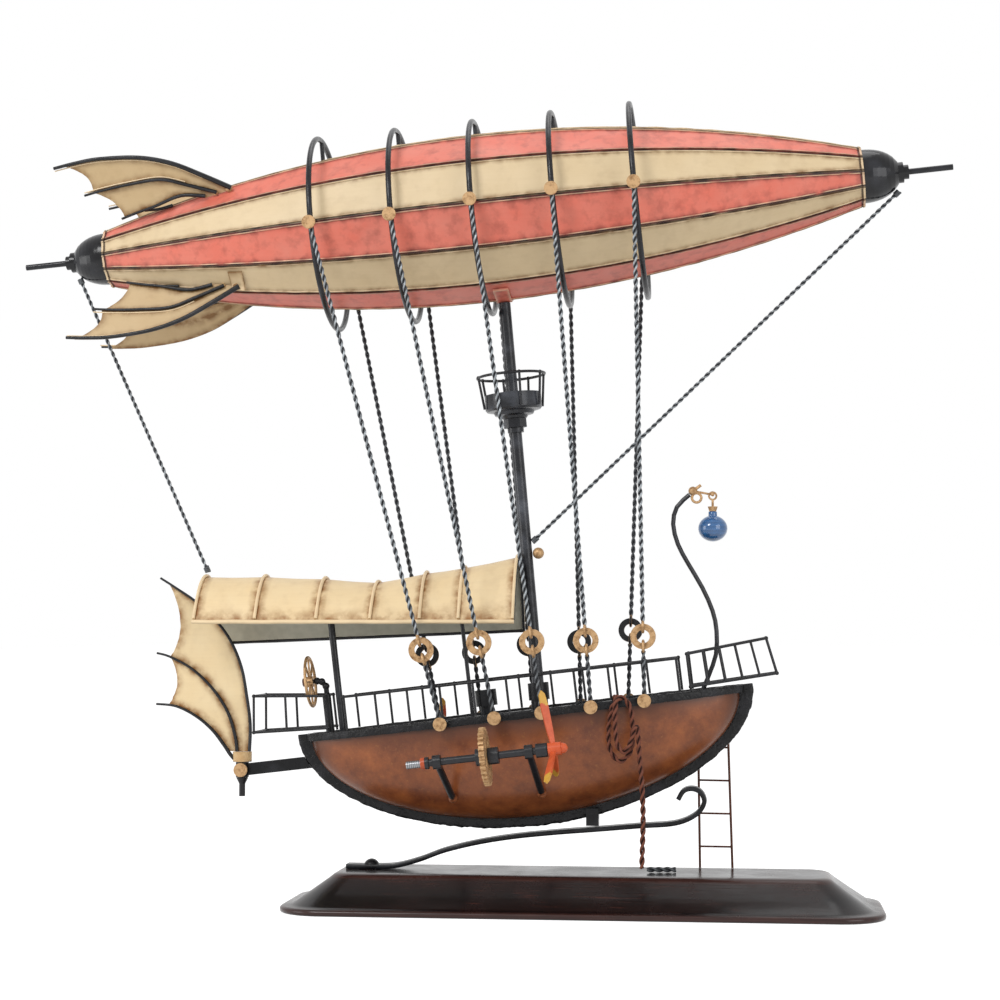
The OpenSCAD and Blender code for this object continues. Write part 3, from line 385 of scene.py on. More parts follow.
# Offcut of stay wire lying on the base under the scroll: two dark steel strands twisted
# together, the same wire that the stays are made of.
STAY_LAY, OFFCUT_R, OFFCUT_SHINE = 10.5, 1.8, 0.76

# Twisted steel wire, dipped black and rubbed: bright grey on the crowns of the lay, black in
# its grooves. Drawn wire has a fine satin, so the roughness is low and the metal shows.
stay_steel, tree = blank("rubbed black stay wire")
crown = span(attribute(tree, "stand"), 0.66, 1.0)
shown = calc("MULTIPLY", crown, grain(tree, 5, 3.0))
shown = calc("MULTIPLY", shown, 1.5, use_clamp=True)
colour = blend(shown, "#303236", "#A4AAAE")
surface(colour, 0.34, 0.3, more={"Metallic": span(shown, end=0.7)})
offcut = even([(109, -4, BASE_H + 1.95), (127, -2, BASE_H + 1.95)], 0.8)
strands, stand_out = twisted(offcut, OFFCUT_R, STAY_LAY, 10)
make("base_wire_twist", strands, stay_steel, "stay_wire", "base_wire", crease=0,
     stand=OFFCUT_SHINE * stand_out)

# Hull: two shells pressed from sheet and soldered to the keel, one each side, set bow-up on
# the stand. They are lacquered brown, and drawn darker towards the gunwale and the keel.
HULL_AT, HULL_PITCH = (29.0, 0, 126.0), math.radians(6.7)
HULL_L, HULL_B, HULL_D, HULL_T, HULL_N = 140.0, 36.0, 67.0, 0.8, 1.92
# Gap to the middle plane, drop from the hull's own level, rise over the keel's line, bulge and dents
SHELL_IN, SHELL_DROP, SHELL_RISE, SHELL_BULGE, SHELL_DENT = 1.65, 1.35, 1.2, 2.0, 0.35


def pitched(points, at, pitch):
    """Points of a frame that is pitched bow-up, in the model's own frame."""
    p = np.asarray(points, float)
    c, s = math.cos(pitch), math.sin(pitch)
    return np.stack([p[..., 0] * c - p[..., 2] * s, p[..., 1], p[..., 0] * s + p[..., 2] * c], -1) + at


def on_hull(points):
    return pitched(points, HULL_AT, HULL_PITCH)


def ripples(a, b, c):
    """Smooth noise, from -1 to 1, at places given by three numbers or grids of them."""
    at = np.stack(np.broadcast_arrays(a, b, c), -1)
    return np.array([noise.noise(Vector(p)) for p in at.reshape(-1, 3)]).reshape(at.shape[:-1])


def fullness(f):
    """How full the hull is at a share of its half length."""
    return np.maximum(0, 1 - np.abs(f) ** HULL_N) ** (1 / HULL_N)


def sheet_between(face, back, flip=False):
    """A closed sheet between two grids of points, its face first."""
    m, n = face.shape[:2]
    z = m * n
    skin = [(i * n + j, i * n + j + 1, (i + 1) * n + j + 1, (i + 1) * n + j)
            for i in range(m - 1) for j in range(n - 1)]
    faces = skin + [tuple(i + z for i in f[::-1]) for f in skin]
    faces += [(j + 1, j, z + j, z + j + 1) for j in range(n - 1)]
    faces += [(z - n + j, z - n + j + 1, 2 * z - n + j + 1, 2 * z - n + j) for j in range(n - 1)]
    faces += [(i, i + n, z + i + n, z + i) for i in range(0, z - n, n)]
    faces += [(i + n, i, z + i, z + i + n) for i in range(n - 1, z - n, n)]
    points = np.concatenate([face.reshape(-1, 3), back.reshape(-1, 3)])
    return points, [f[::-1] for f in faces] if flip else faces


# Lacquer over a coppery ground on hand-pressed sheet: warm brown, glossy, mottled in 16 mm
# clouds with 2 mm specks, and drawn darker, to almost black, towards the edges and ends.
hull_lacquer, tree = blank("brown lacquer darker at the edges")
mottle, speck = grain(tree, 16, 7.0, 0.7), grain(tree, 2.2, 3.0, 0.7)
ground = blend(span(mottle, 0.3, 0.72), "#60311D", "#9C5930")
lacquer = blend(span(speck, 0.58, 0.75, 0.0, 0.3), ground, "#B67C40")
edge_darkening = calc("MULTIPLY", attribute(tree, "gather"), mottle)
edge_darkening = calc("MULTIPLY", edge_darkening, 1.7, use_clamp=True)
glazed = blend(edge_darkening, lacquer, "#28130B")
surface(glazed, 0.3, 0.25, (speck, 0.06, 0.0003), {"Coat Weight": 0.25, "Coat Roughness": 0.3})
for side, name in ((-1, "hull_starboard"), (1, "hull_port")):
    x = HULL_L * np.sin(np.radians(np.linspace(-86, 86, 97)))
    girth = np.radians(np.linspace(90, 0, 41))
    xx, tt = np.meshgrid(x, girth, indexing="ij")
    full = fullness(xx / HULL_L)
    beam, depth = HULL_B * full, (HULL_D - SHELL_RISE) * full
    skins = []
    for off in (HULL_T, 0.0):
        y = SHELL_IN + np.maximum(0, beam - SHELL_IN) * np.cos(tt) + off
        y += SHELL_BULGE * np.sin(2 * tt) ** 2 * beam / HULL_B
        z = -SHELL_DROP - depth * np.sin(tt) - off * np.sin(tt) * 0.6
        dent = SHELL_DENT * ripples(xx / 26, side * 3.1, z / 20)
        y += dent * np.sin(2 * tt) * np.cos(np.pi / 2 * xx / HULL_L)
        skins.append(on_hull(np.stack([xx, side * y, z], -1)))
    edge_mm = np.minimum(np.degrees(tt) * 0.9, (90 - np.degrees(tt)) * 0.75)
    gathered = np.clip(1 - np.minimum(edge_mm, (HULL_L - np.abs(xx)) * 0.8) / 16, 0, 1) ** 1.3
    make(name + "_pressing", sheet_between(*skins, flip=side > 0), hull_lacquer, "hull_paint", name,
         crease=50, gather=gathered)

# Keel and gunwale: steel strip soldered round the shells, built up with weld and left rough,
# then brushed with black enamel like the deck plate and the fittings on it.
weld_black = black_enamel("black enamel over weld", 2.2, 0.3, tone="#0B0B0D", polished="#222226",
                          relief=0.8, sheen=0.24)
# Half length and depth of the keel's outer and inner edge, and how high its ends stand
KEEL_RIM, KEEL_ROOT, KEEL_END = (149, 74), (138.3, 63), 1.5
# Share of the way out and offset to the side round the keel's section
KEEL_STRIP = [(0, 0.9), (0.02, 1.5), (0.3, 1.5), (0.45, 1.55), (0.7, 1.55), (0.92, 1.5), (1, 1), (1.02, 0),
              (1, -1), (0.92, -1.5), (0.7, -1.55), (0.45, -1.55), (0.3, -1.5), (0.02, -1.5), (0, -0.9)]
# Out from the hull's edge and up from it round the gunwale's section
GUNWALE_STRIP = [(1, -3.2), (1.3, -3.5), (2.9, -3.5), (3.2, -3), (3.3, -2), (3.25, -0.5), (3.3, 0.8),
                 (3, 1.35), (2.6, 1.5), (1.6, 1.5), (1.15, 1.3), (1, 0.9)]


def lump(p, size):
    """Weld lumps of about the given size, from -1 to 1, over any points."""
    return ripples(*np.moveaxis(p / size, -1, 0))


c = np.cos(np.radians(np.concatenate([[0], np.linspace(1, 179, 250), [180]])))
rim, root = (np.stack([-l * c, 0 * c, -d * fullness(c)], 1) for l, d in (KEEL_RIM, KEEL_ROOT))
for line in (rim, root):
    line[[0, -1], 2] = KEEL_END
rings = np.stack([root * (1 - w) + rim * w + (0, t, 0) for w, t in KEEL_STRIP], 1)
outer = np.array([w for w, _ in KEEL_STRIP]) > 0.4
way = (rim - root) / np.linalg.norm(rim - root, axis=1)[:, None]
weld = 0.55 * lump(rings, 4.5) + 0.35 * lump(rings, 1.9) - 0.1
rings += outer[None, :, None] * way[:, None] * weld[..., None]
rings[..., 1] += outer * np.sign(rings[..., 1]) * 0.35 * lump(rings + 40, 3.0)
make("keel_band_weld", swept(on_hull(rings[:, ::-1])), weld_black, "black_paint", "keel_band", crease=50)

parts = []
c = np.cos(np.radians(np.linspace(2, 178, 260)))
outer = np.array([off for off, _ in GUNWALE_STRIP]) > 2.5
for side in (-1, 1):
    rings = np.stack([np.stack([(HULL_L + off) * c, side * (HULL_B + off) * fullness(c), 0 * c + z], 1)
                      for off, z in GUNWALE_STRIP], 1)
    rings[..., 1] += outer * side * (0.45 * lump(rings, 5) + 0.25 * lump(rings, 2))
    rings[..., 2] += 0.35 * lump(rings + 70, 6) + 0.25 * outer * lump(rings + 90, 2.2)
    parts.append(swept(on_hull(rings[:, ::side])))
make("gunwale_weld", together(parts), weld_black, "black_paint", "gunwale", crease=50)
finish(bar_black, "deck", "deck_drum", "mast_socket")

# Railings and galleries: straight wires soldered end to end with a bead at each post, on
# the gunwale at the sides and carried out past the hull at bow and stern.
wire_black = black_enamel("black enamel on wire", 1.8, 0.32)
finish(wire_black, "starboard_rail", "port_rail", "stern_gallery", "bow_gallery")

# Helm: a post and swan-neck soldered to the deck carry a fixed axle. The brass wheel turns
# on it between the neck and a nut.
finish(bar_black, "helm_post")


def axes(tree, kind="Object"):
    """The X, Y and Z of a place on the part, or of the way that it faces."""
    return add(tree, "SeparateXYZ", {0: add(tree, "TexCoord").outputs[kind]}).outputs


# Brass dulled to a warm straw colour, satin, with brown tarnish in 3 mm clouds. Where it is
# asked for, what faces inboard was caught by the black spray.
def dulled_brass(name, sprayed=False):
    made, tree = blank(name)
    tarnish = grain(tree, 3, 5.0, 0.7)
    tone = blend(span(tarnish, 0.46, 0.72), "#BF9B71", "#765331")
    metallic = 0.4
    if sprayed:
        side = calc("SIGN", axes(tree)["Y"])
        outboard = calc("MULTIPLY", axes(tree, "Normal")["Y"], side)
        spray = span(outboard, -0.25, -0.6)
        tone = blend(spray, tone, "#121214")
        metallic = span(spray, 0.0, 1.0, metallic, 0.0)
    dull = span(tarnish, 0.3, 0.7, 0.4, 0.58)
    surface(tone, dull, 0.3, (tarnish, 0.2, 0.0002), {"Metallic": metallic})
    return made


brass = dulled_brass("dulled brass")
finish(brass, "helm_wheel")

# Boarding ladder: two rails and rungs of iron wire, hooked on the port gunwale; the helm's nut
# is of the same iron. Left to brown: dull red-brown with darker scale in 3 mm patches.
browned_iron, tree = blank("browned iron wire")
scale = grain(tree, 3, 4.0, 0.7)
brown = blend(scale, "#2E1812", "#6A3E2C")
surface(brown, 0.5, 0.3, (scale, 0.3, 0.0002), {"Metallic": 0.2})
finish(browned_iron, "helm_nut", "ladder")

# Mast with its crow's nest: a black pole from the deck socket to a saddle under the
# envelope, with a turned tub, a wire rail, a hex nut, a collar and a brass knob on it.
pole_black = black_enamel("black enamel on turned pole", 3.2, 0.26, tone="#121216", polished="#2A2C32")
# The mast, tub and nuts are drawn lighter and greyer than the other black enamel: rubbed wear with a
# painted sheen on it.
mast_black_sheen = black_enamel("rubbed enamel on the mast with painted sheen", 3.2, 0.26, tone="#1C1D21", polished="#50535A")
finish(mast_black_sheen, "mast", "nest_tub", "nest_nuts")
finish(wire_black, "nest_rail")
finish(brass, "mast_knob")

# Awning: one sheet of steel rolled into an arch over the after deck on posts, with battens
# soldered across it and a wire rolled into each eave. Painted cream, browned round the battens.
AWNING_B, AWNING_T, AWNING_AFT, AWNING_FORE = 34.0, 0.8, -181.0, 25.8
AWNING_EAVE, PORT_EAVE, PORT_RISE = 185.0, 171.0, 8.5
# Each batten's place along the ship and the height of the ridge there
BATTEN_X = (AWNING_AFT, -141, -101, -66, -34, -9, AWNING_FORE)
RIDGE_Z = (213.5, 213.5, 212, 209.5, 215.5, 219, 226)
BATTEN_R, HEM_R, HEM_AFT, HEM_L = 1.05, 1.35, -182.0, 208.8
finish(pole_black, "awning_posts")


def awning_point(x, v, off):
    """A point along the awning and across it, v from -1 at the starboard eave to 1, raised by off."""
    x, v = np.broadcast_arrays(x, v)
    port = PORT_EAVE + PORT_RISE * (x - AWNING_AFT) / (AWNING_FORE - AWNING_AFT)
    eave = np.where(v < 0, AWNING_EAVE, port)
    rise = np.interp(x, BATTEN_X, RIDGE_Z) - eave
    slope = -np.sign(v) * 2.2 * rise / AWNING_B * np.abs(v) ** 1.2
    up = 1 / np.sqrt(slope ** 2 + 1)
    z = eave + rise * (1 - np.abs(v) ** 2.2) + off * up
    return np.stack([x, v * AWNING_B - off * slope * up, z], -1)


# Oil paint on sheet steel, toned with brown glaze wiped into the corners: satin, with 25 mm
# clouds, soft 8 mm ripples and 1.5 mm brush drag. Glaze with some painted shade, dark seams
# and pale rubbed edges follow marks on the mesh.
def oil_paint(name, pale, tan, brown, most_ripple):
    made, tree = blank(name)
    clouds, ripple = grain(tree, 25, 5.0, 0.6), grain(tree, 8, 4.0, 0.55)
    brush = brushed(tree, 30)
    colour = blend(clouds, pale, tan)
    colour = blend(span(ripple, 0.48, 0.75, 0.0, most_ripple), colour, brown)
    colour = blend(span(brush, 0.4, 0.7, 0.0, 0.03), colour, brown)
    patchy = span(ripple, 0.34, 0.62, 0.2, 1.25)
    # The glaze mark carries painted shade too: the ripples' hollows on the gores and the fin tab's edges.
    wiped_glaze_and_shade = calc("MULTIPLY", attribute(tree, "soil"), patchy, use_clamp=True)
    colour = blend(wiped_glaze_and_shade, colour, brown)
    colour = blend(attribute(tree, "rub"), colour, "#EBD3AE")
    colour = blend(attribute(tree, "seam"), colour, "#241511")
    surface(colour, 0.44, 0.35, (brush, 0.05, 0.0003))
    return made


sail_cream = oil_paint("glazed cream oil paint", "#EEDAB3", "#E5C999", "#8F6030", 0.1)

# Bare tinned steel under the awning, never painted: flat grey with 6 mm stains, drawn lighter than it is as
# painted light in the awning's shade.
tinned, tree = blank("stained tinned steel")
grey = blend(grain(tree, 6, 5.0), "#9C998A", "#C6C3B2")
surface(grey, 0.55, more={"Metallic": 0.2})

bays = [np.linspace(a, b, 13)[:-1] for a, b in zip(BATTEN_X, BATTEN_X[1:])]
bays = np.concatenate(bays + [[AWNING_FORE]])
xx, vv = np.meshgrid(bays, np.linspace(-1, 1, 57), indexing="ij")
off_batten = np.min(np.abs(xx[..., None] - BATTEN_X), axis=-1)
pillow = -0.35 * np.clip(off_batten / 16, 0, 1)
rolled = sheet_between(awning_point(xx, vv, pillow), awning_point(xx, vv, pillow - AWNING_T), flip=True)
from_hem = (1 - np.abs(vv)) * 44
glaze = np.clip(np.maximum(1 - (off_batten - 1.0) / 5.5, 0.9 - from_hem / 8.5), 0, 1) ** 1.5
awning = make("awning_rolled_sheet", rolled, sail_cream, "sail_paint", "awning_sheet", crease=50,
              soil=np.append(glaze.ravel(), np.zeros(glaze.size)))
awning.data.materials.append(tinned)
lower = (xx.shape[0] - 1) * (xx.shape[1] - 1)
for face in awning.data.polygons[lower:2 * lower]:
    face.material_index = 1

battens, framing = [], []
across = np.linspace(-0.992, 0.992, 49)
for x in BATTEN_X:
    width = BATTEN_R + 0.12 * ripples(x / 9, np.arange(49) / 5, 0.5)
    battens.append(wire(awning_point(x, across, BATTEN_R), width, 12))
framing.append(wire(awning_point(AWNING_FORE + 0.3, across, -1.9), 0.95, 10))
for group, y, z, rise in ((battens, -35.4, AWNING_EAVE - 1, 0), (framing, 35.65, PORT_EAVE - 1, PORT_RISE)):
    f = np.linspace(0, 1, 105)
    x = HEM_AFT + HEM_L * f
    across, up = 0.12 * ripples(x / 11, y, 0), 0.25 * ripples(x / 17, y, 3)
    group.append(wire(np.stack([x, y + across, z + rise * f + up], 1), HEM_R, 12))
make("awning_batten_wires", together(battens), sail_cream, "sail_paint", "awning_battens", crease=60,
     soil=0.1, rub=0.5)
make("awning_frame_wires", together(framing), wire_black, "black_paint", crease=60)

# Rudder: flat steel cut with a scalloped trailing edge, like a wing between its fingers, on a
# stock that turns in the arm. Tapered black ribs are soldered along one face.
RUDDER_LEAD = [(-151.2, 99.3), (-150.8, 117), (-153.5, 137), (-157, 154.5), (-164, 171), (-173.5, 184),
               (-187.5, 197), (-200, 205.5), (-212, 213)]
RUDDER_MID = [(-159.4, 99.3), (-161, 110), (-166, 125), (-176, 140), (-190, 153), (-205, 161),
              (-214, 163.5)]
RUDDER_LOW = [(-164.2, 99.3), (-168, 103), (-176, 113), (-187, 122), (-200.5, 128.5), (-214, 130)]
RUDDER_LOW_RIB = [(-160.5, 93.5), (-164.2, 97.5)] + RUDDER_LOW[1:]
RIB_BESIDE, RIB_TIP = -1.85, 0.75


def rib_line(rib, beside, spacing):
    """Even points along a rib that lies beside the middle of its sheet."""
    return even(smooth_line([(x, beside, z) for x, z in rib], 6), spacing)


def ribbed_sail(ribs, ends, scallop, rows=46, columns=45, fine=400):
    """A sheet between ribs, cut at each rib's end and hollowed between, and its distance off the ribs."""
    lines = [rib_line(rib, 0, 0.5) for rib in ribs]
    lines = [l[(np.linspace(0, len(l) - 1, fine)).round().astype(int)] for l in lines]
    points, off = [], []
    for v in np.linspace(0, len(ribs) - 1, columns):
        a = min(int(v), len(ribs) - 2)
        f = v - a
        end = ends[a] * (1 - f) + ends[a + 1] * f - scallop * math.sin(math.pi * f) ** 0.8
        u = np.linspace(0, end, rows) * (fine - 1)
        i = np.clip(u.astype(int), 0, fine - 2)
        w = (u - i)[:, None]
        pa, pb = (line[i] * (1 - w) + line[i + 1] * w for line in lines[a:a + 2])
        points.append(pa * (1 - f) + pb * f)
        gap = np.linalg.norm(pa - pb, axis=1)
        off.append(np.minimum(np.minimum(f, 1 - f) * gap, (end - u / (fine - 1)) * 70 + 1.5))
    return np.array(points), np.array(off)


half_sheet = (0, 0.4, 0)
sail, off = ribbed_sail([RUDDER_LEAD, RUDDER_MID, RUDDER_LOW], [0.955, 0.9, 0.87], 0.07)
glaze = np.clip(1 - (off - 0.8) / 6, 0, 1) ** 1.6
make("rudder_cut_sheet", sheet_between(sail + half_sheet, sail - half_sheet), sail_cream, "sail_paint",
     "rudder_sheet", body="rudder", crease=50, soil=glaze)
parts = []
for rib, thick in ((RUDDER_LEAD, 1.15), (RUDDER_MID, 1.2), (RUDDER_LOW_RIB, 1.3)):
    line = rib_line(rib, RIB_BESIDE, 1.5)
    parts.append(wire(line, np.linspace(thick, RIB_TIP, len(line)), 10))
make("rudder_tapered_ribs", together(parts), wire_black, "black_paint", "rudder_ribs", body="rudder")
finish(bar_black, "rudder_arm")

# The stock's upper block was painted with the sheet and its pin with the arm: cream down to a
# ragged edge about 93 mm up, black below it.
stock_paint, tree = blank("cream over black on the stock")
clouds = grain(tree, 5, 4.0)
level = calc("ADD", axes(tree)["Z"], span(clouds, 0.0, 1.0, -0.0012, 0.0012))
cream = blend(clouds, "#E8CC9C", "#A97C48")
tone = blend(span(level, 0.0925, 0.0931), "#141316", cream)
surface(tone, 0.4, 0.3, (clouds, 0.2, 0.0003))
finish(stock_paint, "rudder_stock")

# Envelope: twelve gores of thin steel between two turned end caps, cream and red in turn. The
# edges are bent up into lips, and the groove between neighbouring lips holds the dark solder.
ENVELOPE_AT, ENVELOPE_PITCH = (0, 0, 449.0), math.radians(5.0)
ENVELOPE_L, ENVELOPE_R, ENVELOPE_END, GORE_T, GORES, GORE_DEG = 501.0, 55.5, 18.5, 0.8, 12, 30
# Millimetres from the seam, height over the gore, and how much is solder and rubbed lip
LIP = [(0.12, -0.3, 1, 0), (0.92, -0.2, 1, 0), (1.0, 0.75, 0.3, 0.25), (1.25, 0.9, 0, 0.8),
       (1.6, 0.75, 0, 0.5), (1.9, 0.1, 0.25, 0), (2.5, 0, 0, 0)]
# Shares of the way back across the inside of a gore
INSIDE = (0.992, 0.75, 0.5, 0.25, 0.008)
red_oil = oil_paint("faded red oil paint", "#DC624C", "#DA8A79", "#74302A", 0.38)
cream_oil = oil_paint("aged cream oil paint", "#DDC8A4", "#D2BA92", "#83603A", 0.1)


def on_envelope(points):
    return pitched(points, ENVELOPE_AT, ENVELOPE_PITCH)


def gore_r(x):
    """Distance of the seams from the envelope's axis."""
    return ENVELOPE_END + (ENVELOPE_R - ENVELOPE_END) * (1 - (2 * x / ENVELOPE_L) ** 2)


def seam_point(x, phi, out=0.0):
    """A point on a seam of the envelope, phi up from the starboard beam, a little out from it."""
    r = gore_r(x) + out
    return np.stack([x, -r * math.cos(phi), r * math.sin(phi)], -1)


reach = ENVELOPE_L / 2
by_end = np.array([0, 0.6, 1.3, 1.5, 2.0, 2.6, 2.8, 4.0])
between = np.linspace(5.5 - reach, reach - 5.5, 175)
stations = np.concatenate([by_end - reach, between, reach - by_end[::-1]])
chord = 2 * gore_r(stations) * math.sin(math.radians(GORE_DEG / 2))
inner = LIP[-1][0] / chord
section = [(d / chord, *rest) for d, *rest in LIP]
section += [(inner + (1 - 2 * inner) * f, 0, 0, 0) for f in np.linspace(0.06, 0.94, 19)]
section += [(1 - d / chord, *rest) for d, *rest in LIP[::-1]]
# The lip, the rubbed edge and the groove round each end, where the caps meet the gores
to_end = reach - np.abs(stations)
end_lip = np.interp(to_end, [1.3, 1.5, 2.8, 4], [0.5, -0.1, -0.1, 0])
end_rub = np.interp(to_end, [1.3, 1.5], [0.7, 0])
end_groove = np.interp(to_end, [1.3, 1.5, 2.6, 2.8], [0, 0.8, 0.8, 0])
for first, name, paint, slot in ((0, "cream_gores", cream_oil, "cream_paint"),
                                 (1, "red_gores", red_oil, "red_paint")):
    parts, marks = [], []
    for k in range(first, GORES, 2):
        a, b = math.radians(GORE_DEG * k), math.radians(GORE_DEG * k + GORE_DEG)
        middle = np.array([0, -math.cos((a + b) / 2), math.sin((a + b) / 2)])
        skins, worn = [], []
        for f, lift, solder, rubbed in section:
            wave = ripples(stations / 21, f * 1.6 + k, 0.3)
            uneven = ripples(stations / 9, k, np.round(f))
            near = np.minimum(f, 1 - f) * chord
            raised = lift * (0.9 + 0.35 * uneven) + 0.28 * wave * np.clip((near - 2) / 3, 0, 1) + end_lip
            base = seam_point(stations, a) * (1 - f)[:, None] + seam_point(stations, b) * f[:, None]
            skins.append(base + raised[:, None] * middle)
            # Besides the glaze by the seams, painted shade darkens the hollows of the ripples.
            glaze = np.clip(1 - (near - 1.4) / 3.4, 0, 1) ** 1.5 * 0.8 + 0.12 * np.clip(-wave - 0.1, 0, 1)
            worn.append((np.maximum(glaze, 0.8 * np.clip(1 - to_end / 7, 0, 1)),
                         np.maximum(solder * (0.8 + 0.5 * uneven), end_groove),
                         np.maximum(rubbed * np.clip(0.75 + 1.3 * uneven, 0, 1), end_rub)))
        for f in INSIDE:
            skins.append(seam_point(stations, a, -GORE_T) * (1 - f) + seam_point(stations, b, -GORE_T) * f)
            worn.append(np.zeros((3, len(stations))))
        parts.append(swept(on_envelope(np.stack(skins, 1))))
        marks.append(np.clip(worn, 0, 1).transpose(1, 2, 0).reshape(3, -1))
    soil, seam, rub = np.concatenate(marks, 1)
    make(name + "_lipped", together(parts), paint, slot, name, crease=35, soil=soil, seam=seam, rub=rub)
cap_black = black_enamel("glossy enamel on turned caps", 6, 0.17, tone="#0E0E11", relief=0.12)
finish(cap_black, "end_caps")
finish(pole_black, "end_rods", "hoops")

# Saddle: a plate bent under the belly, on to which the mast is welded. It is painted with the
# red gores and rubbed pale along its edges.
SADDLE_X, SADDLE_HALF_L, SADDLE_HALF_W, SADDLE_T = 12, 5, 19, 1.6
x, y = np.meshgrid(np.linspace(SADDLE_X - SADDLE_HALF_L, SADDLE_X + SADDLE_HALF_L, 11),
                   np.linspace(-SADDLE_HALF_W, SADDLE_HALF_W, 25), indexing="ij")
plate = np.stack([x, y, np.abs(y) * math.tan(math.radians(GORE_DEG / 2)) - ENVELOPE_R - 0.35], -1)
bent = sheet_between(on_envelope(plate), on_envelope(plate - (0, 0, SADDLE_T)))
from_edge = np.minimum(SADDLE_HALF_L - np.abs(x - SADDLE_X), SADDLE_HALF_W - np.abs(y))
rubbed = np.clip(1 - from_edge / 1.5, 0, 1).ravel()
make("mast_saddle_plate", bent, red_oil, "red_paint", "mast_saddle", crease=10,
     rub=np.append(0 * rubbed, 0.55 * rubbed), soil=0.25)

# Stays: two strands twisted together, wound to an eye round the shank of a brass button at
# each end. Each stay is in two lengths, linked by a loop at each side of a brass washer.
HOOP_X, HOOP_PITCH, HOOP_OUT = 2.5, 51.5, 67.1
STAY_X = {-1: (-49, -14, 16, 47, 80.5), 1: (-60, -32, 3, 34.5, 66.5)}
WASHER_UP = {-1: (48.5, 48.5, 45, 42, 40.5), 1: (45, 43, 44, 42, 46)}
STAY_DROP, STAY_Z, FOOT_OUT, SHANK_L = (4.5, 5, 1, 0, 1.5), -1.0, 3.2, 4.3
STAY_R, END_STAY_R, COIL_R, COIL_WIRE = 1.55, 1.3, 2.2, 0.8
LIMB_R, EYE_R, EYE_WIRE, END_COIL_R, END_COIL_L = 6.1, 3.4, 0.9, 1.3, 3.4
# How far the twisted wire runs into a loop, and how far short of a button it stops
STAY_LAP, STAY_SHORT = 0.3, 2.4
# Painted shade: the inboard half of each wire is drawn blacker, like the eyes, so that the port stays look
# darker from starboard.
INBOARD_SHADE, EYE_SHINE = 0.25, 0.78
finish(brass, "brass_buttons")
sprayed_brass = dulled_brass("brass sprayed black inboard", sprayed=True)
finish(sprayed_brass, "ring_washers")
upper, lower, loops, end_parts = [], [], [], []


def wound(line):
    """The wire of an eye, with how bright it is."""
    shape = wire(line, COIL_WIRE, 8)
    return shape, np.full(len(shape[0]), EYE_SHINE)


for side in (-1, 1):
    for k in range(5):
        drop, x = STAY_DROP[k], STAY_X[side][k]
        out = side * math.sqrt(HOOP_OUT ** 2 - drop ** 2)
        top = on_envelope((HOOP_X + (k - 2) * HOOP_PITCH, out, -drop))
        beam = (HULL_B + FOOT_OUT) * fullness(x / (HULL_L + FOOT_OUT))
        foot = on_hull((x, side * (beam + 0.3 + SHANK_L / 2), STAY_Z))
        length = np.linalg.norm(top - foot)
        up = (top - foot) / length
        lean = math.atan2(up[0], up[2])
        across = np.cross(up, (math.cos(lean), 0, -math.sin(lean)))
        washer = WASHER_UP[side][k]
        for parts, loop_z, start, end, eye in (
                (upper, washer + LIMB_R, washer + LIMB_R + EYE_R - STAY_LAP, length - STAY_SHORT, top),
                (lower, washer - LIMB_R, STAY_SHORT, washer - LIMB_R - EYE_R + STAY_LAP, foot)):
            line = even([foot + up * start, foot + up * end], LAY_STEP)
            strands, stand_out = twisted(line, STAY_R, STAY_LAY)
            from_foot = strands[0] - foot
            outboard = side * (from_foot - (from_foot @ up)[:, None] * up)[:, 1] / STAY_R
            # Painted shade darkens the inboard half of the lay.
            dulled = 1 - INBOARD_SHADE * np.clip(0.5 - outboard, 0, 1)
            parts.append((strands, stand_out * dulled))
            a = np.linspace(0, 4 * math.pi, 49)
            coil = COIL_R * np.stack([np.cos(a), a / a[-1] - 0.5, np.sin(a)], 1)
            parts.append(wound(eye + coil))
            ring = EYE_R * (np.cos(a[:25])[:, None] * across + np.sin(a[:25])[:, None] * up)
            loops.append(wire(foot + up * loop_z + ring, EYE_WIRE, 8))
# From the rod at each end of the envelope, to the mast and to the awning's after end
for a, b in ((on_envelope((271.18, 0, -13.15)), on_envelope((18.15, 0, -214))),
             (on_envelope((-271.18, 0, -13.15)), np.array([-181, 0, 218.6]))):
    end_parts.append(twisted(even([a, b], LAY_STEP), END_STAY_R, STAY_LAY - 1))
    way = (b - a) / np.linalg.norm(b - a)
    t = np.linspace(0, 6 * math.pi, 73)
    athwart = np.array([0, 1.0, 0])
    coil = END_COIL_R * (np.cos(t)[:, None] * np.cross(way, athwart) + np.sin(t)[:, None] * athwart)
    coil += ((t / t[-1] - 0.5) * END_COIL_L)[:, None] * way
    for end in (a, b):
        end_parts.append(wound(end + coil))
for name, parts, shine in (("upper_stays", upper, 1.0), ("lower_stays", lower, 0.82),
                           ("end_stays", end_parts, 0.94)):
    shapes, stands = zip(*parts)
    make(name + "_twist", together(shapes), stay_steel, "stay_wire", name, crease=0,
         stand=shine * np.concatenate(stands))

# The loops on the washers were sprayed with them.
make("washer_loop_wires", together(loops), sprayed_brass, "brass", crease=0)

# Tail fins: four scalloped sheets standing near the tail, each with three tapered black ribs on
# one face and a short strut on the other. The port ones are bent nearer to level.
TAIL = -ENVELOPE_L / 2
FIN_ROOT = gore_r(TAIL + 82.5)
